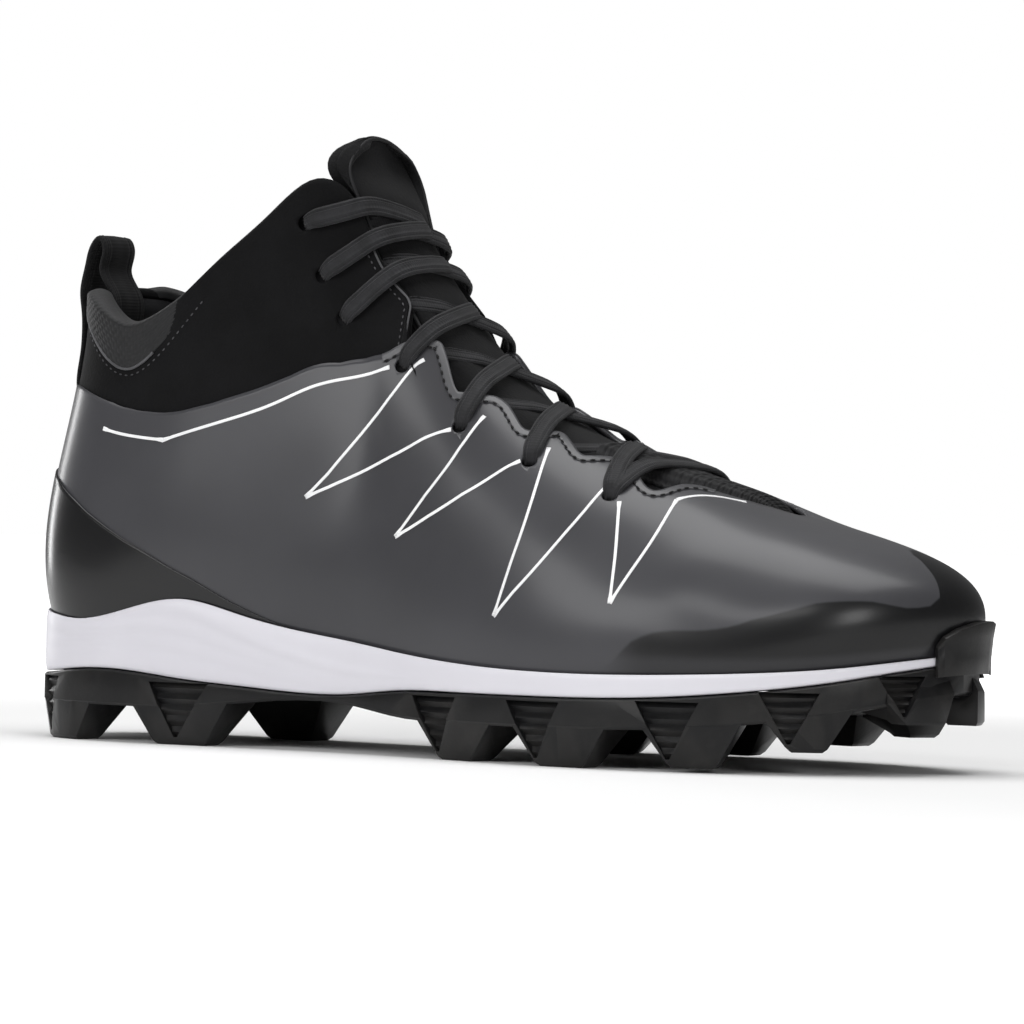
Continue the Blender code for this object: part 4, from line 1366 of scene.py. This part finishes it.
    def build_piping(self) -> bpy.types.Object:
        """The light cord round the back edge of each pad."""
        line = self.pad_line()[:105]
        mesh = bmesh.new()
        for row in (line, other_side(line)):
            path = LAST.skin(row[:, 0], row[:, 1], 0.45)
            normal = LAST.normal(row[:, 0], row[:, 1])
            side = np.cross(unit(np.gradient(path, axis=0)), normal)
            lay_loft(mesh, tube_sections(path, side, cord_section(self.piping_radius, len(path))))
        return add_object("pad_piping", mesh)

    def build(self) -> None:
        """Makes and dresses every piece of the upper."""
        quarter = self.build_quarter()
        self.punch(quarter, rolled=False)
        dress(quarter, HIDE.material(self.effects))
        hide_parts("upper")
        cuff = self.build_cuff()
        self.punch(cuff, rolled=True)
        dress(cuff, CUFF_CLOTH.material(self.effects))
        dress(self.build_lining(), LINING_CLOTH.material(self.effects))
        dress(self.build_counter(), PATENT.material(self.effects))
        pad_cloth = PAD_CLOTH.material(self.effects)
        for inner in (False, True):
            dress(self.build_pad(inner), pad_cloth)
        piping_cloth = PIPING_CLOTH.material(self.effects)
        # The flap edging's lighter cloth is partly painted highlight along the flap's fold, on a real
        # raised edge.
        for piece in (self.build_piping(), self.build_edging()):
            dress(piece, piping_cloth)
        dress(self.build_binding(), BINDING_HIDE.material(self.effects))
        zigzag = self.build_ribbon("printed_zigzag", self.stroke_lines(), SKIN + 0.10, 0.14)
        dress(zigzag, INK.material(self.effects))
        self.sew()
        LOG.info("upper built")


@dataclass
class Tongue:
    """The padded tongue under the lacing."""

    effects: Effects
    thick: float = 3.6
    puff: float = 2.7
    climb: tuple[float, float, float] = (-0.28, 0.0, 1.0)
    rib_pitch: float = 0.11
    piping_radius: float = 0.55
    top: Table = field(
        default_factory=lambda: Table(
            ("rise", "back", "deep", "wide", "tall"),
            (
                (4.0, 0.0, 1.0, 1.02, 0.9),
                (8.5, 0.6, 1.0, 1.04, 0.7),
                (13.0, 1.8, 1.0, 1.12, 0.5),
                (17.0, 2.8, 1.02, 1.26, 0.35),
                (20.5, 3.0, 1.0, 1.24, 0.3),
                (23.5, 2.2, 0.95, 1.08, 0.27),
                (26.0, 1.0, 0.85, 0.80, 0.22),
                (27.6, 0.2, 0.7, 0.5, 0.2),
            ),
        )
    )

    @staticmethod
    def depth(station: Array) -> Array:
        """How deep the tongue's edges lie under the last's skin."""
        return WALL + GAP + 1.4 - 0.9 * blend(14.0, 17.0, station)

    def swell(self, across: Array) -> Array:
        """How far the tongue's middle is puffed up over its edges."""
        return self.puff * np.exp(-((across / 0.95) ** 4))

    def sections(self) -> Array:
        """Sections of the tongue, from the vamp to its free end."""
        rings = []
        for station in (18.2, 17.5, 16.75, 16.0, 15.0, 14.0, 13.0, 12.25, 11.5, 11.0, 10.5, 10.0, 9.7):
            deep = self.depth(station)
            reach = np.linspace(-1.0, 1.0, 21)
            across = reach * (1.35 + 0.65 * blend(10.5, 12.5, station))
            swell = self.swell(across)
            edge = 0.35 * self.thick * np.abs(reach) ** 6
            where = np.full_like(across, station)
            over = LAST.over_instep(where, across, -deep + swell - edge)
            under = LAST.over_instep(where, across, -deep - self.thick + edge)
            rings.append(np.concatenate([over, under[::-1]]))
        base = rings[-1]
        middle = base.mean(axis=0)
        for rise, back, deep, wide, tall in self.top.rows:
            ring = middle + (base - middle) * (deep, wide, tall) + np.array(self.climb) * rise
            rings.append(ring - (back, 0.0, 0.0))
        return np.array(rings)

    def build(self) -> None:
        """Makes and dresses the tongue."""
        rings = self.sections()
        keys = chord_keys(rings.mean(axis=1))
        fine = Curve(keys, rings).at(np.linspace(0, keys[-1], 130))
        last = fine[-1]
        middle = last.mean(axis=0)
        shrink = ((1, 0.86), (2, 0.62), (2.6, 0.3))
        lips = [middle + (last - middle) * share + (-0.2 * k, 0.0, 0.5 * k) for k, share in shrink]
        sections = np.concatenate([fine, np.array(lips)])
        piece = loft("tongue_body", sections)
        dress(piece, TONGUE_CLOTH.material(self.effects))
        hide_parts("tongue")
        edge = np.concatenate([fine[84::3, 2], fine[-1, 4:17:2], fine[84::3, 18][::-1]])
        path = rounded(edge, 150, 40)
        sides = np.tile((1.0, 0.0, 0.3), (len(path), 1))
        section = cord_section(self.piping_radius, len(path))
        piping = loft("tongue_piping", tube_sections(path, sides, section))
        dress(piping, TONGUE_EDGING.material(self.effects))
        self.build_ribbing()
        LOG.info("tongue built")

    def build_ribbing(self) -> None:
        """The ribbed stretch cloth at the foot of the tongue."""

        def place(station: Array, across: Array) -> Array:
            """Points of the cloth's top: station, and place across the throat."""
            swell = self.swell(across)
            rib = 0.16 * np.sin(station * 2 * np.pi / self.rib_pitch)
            fill = (0.5 + 0.45 * swell) * (1 - blend(17.0, 18.0, station))
            return LAST.over_instep(station, across, -self.depth(station) + swell + fill + rib)

        piece = sheet("tongue_ribbing", np.linspace(14.6, 18.1, 260), np.linspace(-1.3, 1.3, 20), place)
        thicken(piece, 0.6)
        dress(piece, RIB_CLOTH.material(self.effects))


@dataclass
class Laces:
    """The flat lace, threaded up the throat through every eyelet."""

    effects: Effects
    wide: float = 5.7
    thick: float = 1.35
    over: float = 1.75
    under: float = -3.1
    start: float = -1.4
    ribs: int = 5
    pulls: int = 24

    def section(self, count: int) -> Array:
        """The lace's section: flat, round at its edges, with ribs on both faces."""
        x, y = squared_ring(count, 0.55, 0.55)
        rib = 0.19 * np.cos(x * np.pi * self.ribs)
        return np.stack([0.5 * self.wide * x, (0.5 * self.thick + rib * (1 - x**6)) * y], axis=-1)

    @staticmethod
    def hole(row: int, side: int) -> Pair:
        """Station and place across of an eyelet."""
        height = EYELETS.column("height")[row]
        return EYELETS.column("station")[row], side * (1 + (1 - height) / 0.2)

    def shortest(self, start: Pair, end: Pair, count: int = 46) -> Array:
        """The shortest way over the instep between two places, as a pulled lace lies.

        Args:
            start: station and place across of one end.
            end: the same for the other end.
            count: how many places to return.

        Returns:
            Station and place across of each place on the way.
        """
        way = np.array(start) + (np.array(end) - np.array(start)) * np.linspace(0, 1, 6)[:, None]
        for step in range(3 * self.pulls):
            if step in (self.pulls, 2 * self.pulls):
                way = refine(way, 2 * len(way) - 1)
            station, across = way[1:-1, 0], way[1:-1, 1]
            points = LAST.instep(way[:, 0], way[:, 1])
            pull = 0.5 * (points[:-2] + points[2:]) - points[1:-1]
            along = (LAST.instep(station + 0.02, across) - LAST.instep(station - 0.02, across)) / 0.04
            over = (LAST.instep(station, across + 0.01) - LAST.instep(station, across - 0.01)) / 0.02
            aa, bb, ab = (along**2).sum(-1), (over**2).sum(-1), (along * over).sum(-1)
            am, bm = (along * pull).sum(-1), (over * pull).sum(-1)
            size = np.maximum(aa * bb - ab**2, 1e-6)
            way[1:-1, 0] += 0.9 * (am * bb - bm * ab) / size
            way[1:-1, 1] += 0.9 * (bm * aa - am * ab) / size
        return refine(way, count)

    def lay(self, mesh: bmesh.types.BMesh, start: Pair, end: Pair, lifts: Sequence[Pair]) -> None:
        """Adds one run of lace to a mesh.

        Args:
            mesh: the mesh that takes the lace.
            start: station and place across of one end.
            end: the same for the other end.
            lifts: millimetres along the run and the lift there, from the end where minus.
        """
        way = self.shortest(start, end)
        base = LAST.instep(way[:, 0], way[:, 1])
        normal = LAST.instep_normal(way[:, 0], way[:, 1])
        keys = chord_keys(base)
        fine = np.linspace(0, keys[-1], int(keys[-1] / 0.8))
        base, normal = read_row(base, keys, fine), unit(read_row(normal, keys, fine))
        for _ in range(12):
            normal[1:-1] = unit(0.25 * normal[:-2] + 0.5 * normal[1:-1] + 0.25 * normal[2:])
            base[1:-1] = 0.25 * base[:-2] + 0.5 * base[1:-1] + 0.25 * base[2:]
        places = [place if place >= 0 else keys[-1] + place for place, _ in lifts]
        height = np.interp(fine, places, [lift for _, lift in lifts])
        for _ in range(5):
            height[1:-1] = 0.25 * height[:-2] + 0.5 * height[1:-1] + 0.25 * height[2:]
        side = np.cross(normal, unit(np.gradient(base, axis=0)))
        path = base + normal * height[:, None]
        section = self.section(64)[None].repeat(len(path), axis=0)
        ends = np.minimum(fine, keys[-1] - fine)
        section[..., 0] *= (0.8 + 0.2 * blend(0.5, 5.0, ends))[:, None]
        lay_loft(mesh, tube_sections(path, side, section))

    def cross(self, mesh: bmesh.types.BMesh, start: int, end: int, side: int, middle: float) -> None:
        """Threads one strand out of an eyelet, over the tongue and under the other edge.

        Args:
            mesh: the mesh that takes the lace.
            start: eyelet row that it leaves.
            end: eyelet row that it goes to, on the other side.
            side: -1 if it leaves the outer side, 1 the inner.
            middle: its lift where it crosses the other strand.
        """
        dive = EYELETS.column("dive")[end]
        far = (dive, -side * 1.12)
        lifts = self.rise() + [(14.0, self.over), (-22.0, middle)]
        lifts += [(-14.0, middle - 0.5), (-7.0, self.under + 0.9), (-0.1, self.under)]
        self.lay(mesh, self.hole(start, side), far, lifts)

    def rise(self) -> list[Pair]:
        """How a strand climbs out of its eyelet: millimetres along it and its lift there."""
        return [(0.0, self.start), (0.9, 0.4), (2.4, self.over)]

    def bar(self, mesh: bmesh.types.BMesh, row: int, middle: float) -> None:
        """Threads the lowest strand straight over from one eyelet to its mate."""
        lifts = self.rise() + [(12.0, middle), (-12.0, middle)]
        lifts += [(-2.4, self.over), (-0.9, 0.4), (-0.1, self.start)]
        self.lay(mesh, self.hole(row, -1), self.hole(row, 1), lifts)

    def build(self) -> None:
        """Makes and dresses the lacing."""
        mesh = bmesh.new()
        self.bar(mesh, 0, 1.6)
        highest = len(EYELETS.rows) - 1
        for row in range(highest):
            self.cross(mesh, row, row + 1, 1, -0.2)
            self.cross(mesh, row, row + 1, -1, 1.5)
        self.cross(mesh, highest, highest, -1, 0.6)
        piece = add_object("lacing", mesh)
        dress(piece, LACE_CLOTH.material(self.effects))
        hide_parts("laces")
        LOG.info("laces threaded")


@dataclass
class PullLoop:
    """The webbing loop at the heel."""

    effects: Effects
    wide: float = 16.0
    thick: float = 1.7
    top: float = 147.0

    def path(self) -> Array:
        """The loop's middle line: up the back, over, and down inside the collar."""
        close = GAP + 0.9
        lifts = close + np.array([-1.6, -0.5, 0.1, 0.2, 0.6, 1.4])
        outside = LAST.skin(np.zeros(6), np.array([0.70, 0.725, 0.755, 0.82, 0.89, 0.95]), lifts)
        deep = -(WALL + 0.25 * PADDING + close + 3.2)
        inside = LAST.skin(np.zeros(2), np.array([0.99, 0.91]), deep)
        foot = outside[-1][0]
        fold = np.array(
            [
                (foot - 0.6, 0.0, self.top - 16.0),
                (foot + 1.0, 0.0, self.top - 8.0),
                (foot + 3.2, 0.0, self.top - 1.6),
                (foot + 5.2, 0.0, self.top),
                (foot + 6.9, 0.0, self.top - 2.2),
                (foot + 6.0, 0.0, self.top - 9.0),
            ]
        )
        return np.concatenate([outside, fold, inside])

    def build(self) -> None:
        """Makes and dresses the loop."""
        path = refine(self.path(), 110)
        x, y = squared_ring(48, 0.35, 0.5)
        rib = 0.09 * np.cos(x * np.pi * 11)
        section = np.stack([0.5 * self.wide * x, (0.5 * self.thick + rib * (1 - x**8)) * y], axis=-1)
        sides = np.tile((0.0, 1.0, 0.0), (len(path), 1))
        piece = loft("heel_loop", tube_sections(path, sides, section[None].repeat(len(path), axis=0)))
        dress(piece, WEBBING.material(self.effects))
        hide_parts("pull_loop")
        stitches = Stitcher("loop_stitching")
        for across in (-5.5, 0.0, 5.5):
            row = path[16:26] + (-1.0, across, 0.0)
            stitches.row(row, np.tile((-1.0, 0.0, 0.1), (len(row), 1)), 2.0, 1.3, 0.5)
        stitches.finish(DARK_THREAD.material(self.effects))
        LOG.info("pull loop built")


@dataclass
class Sole:
    """The foam midsole, the footbed and the rubber outsole."""

    effects: Effects
    insole_thick: float = 3.6

    def ridge(self, station: Array, share: Array) -> Array:
        """Soft flowing ridges down the midsole's wall from the heel to the arch."""
        row = side_station(station)
        total = np.zeros_like(share)
        for start, end, deep in ((1.02, 0.34, 0.62), (0.74, 0.20, 0.50), (0.48, 0.08, 0.38)):
            line = start + (end - start) * blend(2.5, 9.5, row)
            away = (share - line) / 0.11
            total += deep * away * np.exp(-(away**2))
        return total * blend(1.5, 3.5, row) * (1 - blend(8.5, 11.5, row))

    def build_midsole(self) -> bpy.types.Object:
        """The white midsole with its lip round the upper."""
        columns = np.concatenate([np.arange(0, LAP, 0.125), [LAP]])
        wall = np.linspace(0, 1, 19)
        rows = np.concatenate([[-2.0, -1.0], wall, [1.3, 1.6, 2.0, 3.0, 4.0]])

        def place(station: Array, share: Array) -> Array:
            """Points of the midsole: share under 0 below, 0 to 1 up the wall, over 1 on top."""
            up = np.clip(share, 0, 1)
            low = LAST.sole(station, 0 * up, "outsole_top", GAP)
            rim = LAST.sole(station, 0 * up, "rim", 0.0)
            bulge = 0.25 - 0.45 * np.abs(2 * up - 1) ** 6 + self.ridge(station, up)
            wall_part = LAST.sole(station, bulge, "rim", 0.0)
            wall_part[..., 2] = low[..., 2] + 0.12 + (rim[..., 2] - low[..., 2] - 0.3) * up
            key = np.array([-2.0, -1.0, 0.0])
            under = LAST.sole(station, np.interp(share, key, (-9.0, -0.9, -0.2)), "outsole_top", GAP)
            key = np.array([1.0, 1.3, 1.6, 2.0, 3.0])
            offset = np.interp(share, key, (-0.2, -0.35, -0.6, -0.95, -9.0))
            lift = np.interp(share, key, (-0.18, 0.0, 0.0, -SEAT_DEPTH, -SEAT_DEPTH))
            over = LAST.sole(station, offset, "rim", lift)
            result = np.where((share < 0)[..., None], under, wall_part)
            result = np.where((share > 1)[..., None], over, result)
            close = LAST.sole(station, -9.0 * np.ones_like(up), "outsole_top", GAP)
            return np.where((share > 3.5)[..., None], close, result)

        return sheet("midsole_foam", columns, rows, place, weld=True)

    def build_footbed(self) -> bpy.types.Object:
        """The footbed, cupped a little at its edge."""
        inset = SEAT_INSET + SKIN + WALL

        def place(station: Array, across: Array) -> Array:
            """Points of the footbed's top: station, and -1 to 1 across."""
            left = LAST.sole(station, -inset * np.ones_like(station), "rim", 0.0)
            right = LAST.sole(LAP - station, -inset * np.ones_like(station), "rim", 0.0)
            share = (0.5 + 0.5 * across)[..., None]
            point = left + (right - left) * share
            lift = 2 * GAP - SEAT_DEPTH + self.insole_thick - 0.6 + 0.9 * np.abs(across) ** 5
            point[..., 2] = LAST.level("rim", point[..., 0]) + lift
            return point

        columns = np.concatenate([[0.02, 0.08, 0.2], np.linspace(0.4, 19.6, 120), [19.8, 19.92, 19.98]])
        piece = sheet("footbed", columns, np.linspace(-1, 1, 33), place)
        thicken(piece, self.insole_thick - 0.8)
        return piece

    def build_outsole(self) -> bpy.types.Object:
        """The outsole's solid with its joined faces and softened edges."""
        mesh = bmesh.new()
        mesh.from_mesh(bpy.data.objects["outsole"].data)
        bmesh.ops.remove_doubles(mesh, verts=mesh.verts[:], dist=WELD)
        bmesh.ops.dissolve_limit(
            mesh, angle_limit=math.radians(1.5), verts=mesh.verts[:], edges=mesh.edges[:]
        )
        piece = add_object("outsole_rubber", mesh)
        bevel = piece.modifiers.new("soft_edges", "BEVEL")
        bevel.width = 0.45 * MM
        bevel.segments = 2
        bevel.limit_method = "ANGLE"
        bevel.angle_limit = math.radians(24)
        bevel.use_clamp_overlap = True
        bevel.harden_normals = True
        return piece

    def build(self) -> None:
        """Makes and dresses the sole."""
        midsole = self.build_midsole()
        dress(midsole, FOAM.material(self.effects))
        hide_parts("midsole")
        footbed = self.build_footbed()
        dress(footbed, FOOTBED_CLOTH.material(self.effects))
        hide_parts("insole")
        outsole = self.build_outsole()
        dress(outsole, RUBBER.material(self.effects))
        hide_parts("outsole")
        LOG.info("sole built")


# Soft lights: name, place in metres, width and height, and watts.
LIGHTS = (
    ("overhead", (0.0, 0.0, 1.6), (2.0, 1.0), 24.0),
    ("rim_strip", (-1.45, 0.39, 0.30), (0.26, 1.0), 6.0),
    ("side_panel", (-0.60, -1.6, 0.75), (1.2, 0.7), 12.0),
    ("front_panel", (1.5, -1.1, 0.6), (0.45, 0.6), 6.0),
    ("near_fill", (0.5, -2.2, 1.7), (1.4, 0.5), 12.0),
)


@dataclass
class Studio:
    """The pale floor, the soft lights and the camera."""

    azimuth: float = 30.0
    roll: float = 1.25
    distance: float = 1.45
    lens: float = 180.15
    target: tuple[float, float, float] = (152.2, 0.0, 68.7)
    backdrop: float = 1.0
    surround: float = 0.16

    @staticmethod
    def build_floor() -> None:
        """A wide plain floor, pale enough to melt into the surround."""
        mesh = bmesh.new()
        bmesh.ops.create_circle(mesh, cap_ends=True, segments=64, radius=9.0)
        floor = add_object("studio_floor", mesh, smooth=False)
        made = bpy.data.materials.new("studio_floor")
        made.use_nodes = True
        link = Link(made.node_tree)
        shader = made.node_tree.nodes["Principled BSDF"]
        cloud = link.node("ShaderNodeTexNoise", Scale=3.0, Detail=2.0)
        link.feed(cloud, "Vector", link.node("ShaderNodeTexCoord").outputs["Object"])
        pale = link.mix(cloud.outputs[0], (0.86, 0.86, 0.86, 1.0), (0.88, 0.88, 0.88, 1.0))
        link.feed(shader, "Base Color", pale)
        shader.inputs["Roughness"].default_value = 0.7
        shader.inputs["Specular IOR Level"].default_value = 0.2
        away = link.node("ShaderNodeVectorMath", {"operation": "LENGTH"})
        link.feed(away, 0, link.node("ShaderNodeTexCoord").outputs["Object"])
        far = link.ramp(away.outputs["Value"], 0.25, 0.9)
        seen = link.node("ShaderNodeLightPath").outputs["Is Camera Ray"]
        share = link.math("MULTIPLY", far, seen)
        glow = link.mix(share, (0.0, 0.0, 0.0, 1.0), (1.0, 1.0, 1.0, 1.0))
        link.feed(shader, "Emission Color", glow)
        shader.inputs["Emission Strength"].default_value = 1.0
        floor.data.materials.append(made)

    @staticmethod
    def add_light(name: str, place: Vector, sizes: Pair, power: float) -> None:
        """A soft light that points at the shoe.

        Args:
            name: the light's name.
            place: where it stands, in metres.
            sizes: its width and height.
            power: its power in watts.
        """
        data = bpy.data.lights.new(name, "AREA")
        data.shape = "RECTANGLE"
        data.size, data.size_y = sizes
        data.energy = power
        light = bpy.data.objects.new(name, data)
        light.location = place
        light.rotation_euler = (place - Vector((0, 0, 0.06))).to_track_quat("Z", "Y").to_euler()
        bpy.context.scene.collection.objects.link(light)

    def build_world(self) -> None:
        """A surround that is white behind the shoe and dimmer where the shoe mirrors it."""
        world = bpy.data.worlds.new("studio_world")
        world.use_nodes = True
        link = Link(world.node_tree)
        back = world.node_tree.nodes["Background"]
        back.inputs["Color"].default_value = (1.0, 1.0, 1.0, 1.0)
        seen = link.node("ShaderNodeLightPath").outputs["Is Camera Ray"]
        strength = link.math("MULTIPLY_ADD", seen, self.backdrop - self.surround)
        strength.node.inputs[2].default_value = self.surround
        link.feed(back, "Strength", strength)
        bpy.context.scene.world = world
        bpy.context.scene.view_settings.view_transform = "Standard"

    def build_camera(self) -> None:
        """The camera at the photograph's angle and roll."""
        turn, roll = math.radians(self.azimuth), math.radians(self.roll)
        back = Vector((math.sin(turn), -math.cos(turn), 0.0))
        right = Vector((math.cos(turn), math.sin(turn), 0.0))
        up = Vector((0.0, 0.0, 1.0))
        across = right * math.cos(roll) + up * math.sin(roll)
        upward = up * math.cos(roll) - right * math.sin(roll)
        data = bpy.data.cameras.new("camera")
        data.lens = self.lens
        data.sensor_width = 36.0
        data.clip_start = 0.01
        camera = bpy.data.objects.new("camera", data)
        middle = Vector((np.array(self.target) - ORIGIN) * MM)
        pose = Matrix((across, upward, back)).transposed().to_4x4()
        pose.translation = middle + back * self.distance
        camera.matrix_world = pose
        bpy.context.scene.collection.objects.link(camera)
        bpy.context.scene.camera = camera

    def build(self) -> None:
        """Sets the studio up."""
        self.build_floor()
        self.build_world()
        for name, place, sizes, power in LIGHTS:
            self.add_light(name, Vector(place), sizes, power)
        self.build_camera()
        LOG.info("studio ready")


def main() -> None:
    """Builds the shoe and the studio."""
    logging.basicConfig(level=logging.INFO, format="%(message)s")
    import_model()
    effects = Effects()
    Studio().build()
    Sole(effects).build()
    Upper(effects).build()
    Tongue(effects).build()
    Laces(effects).build()
    PullLoop(effects).build()


if __name__ == "__main__":
    main()
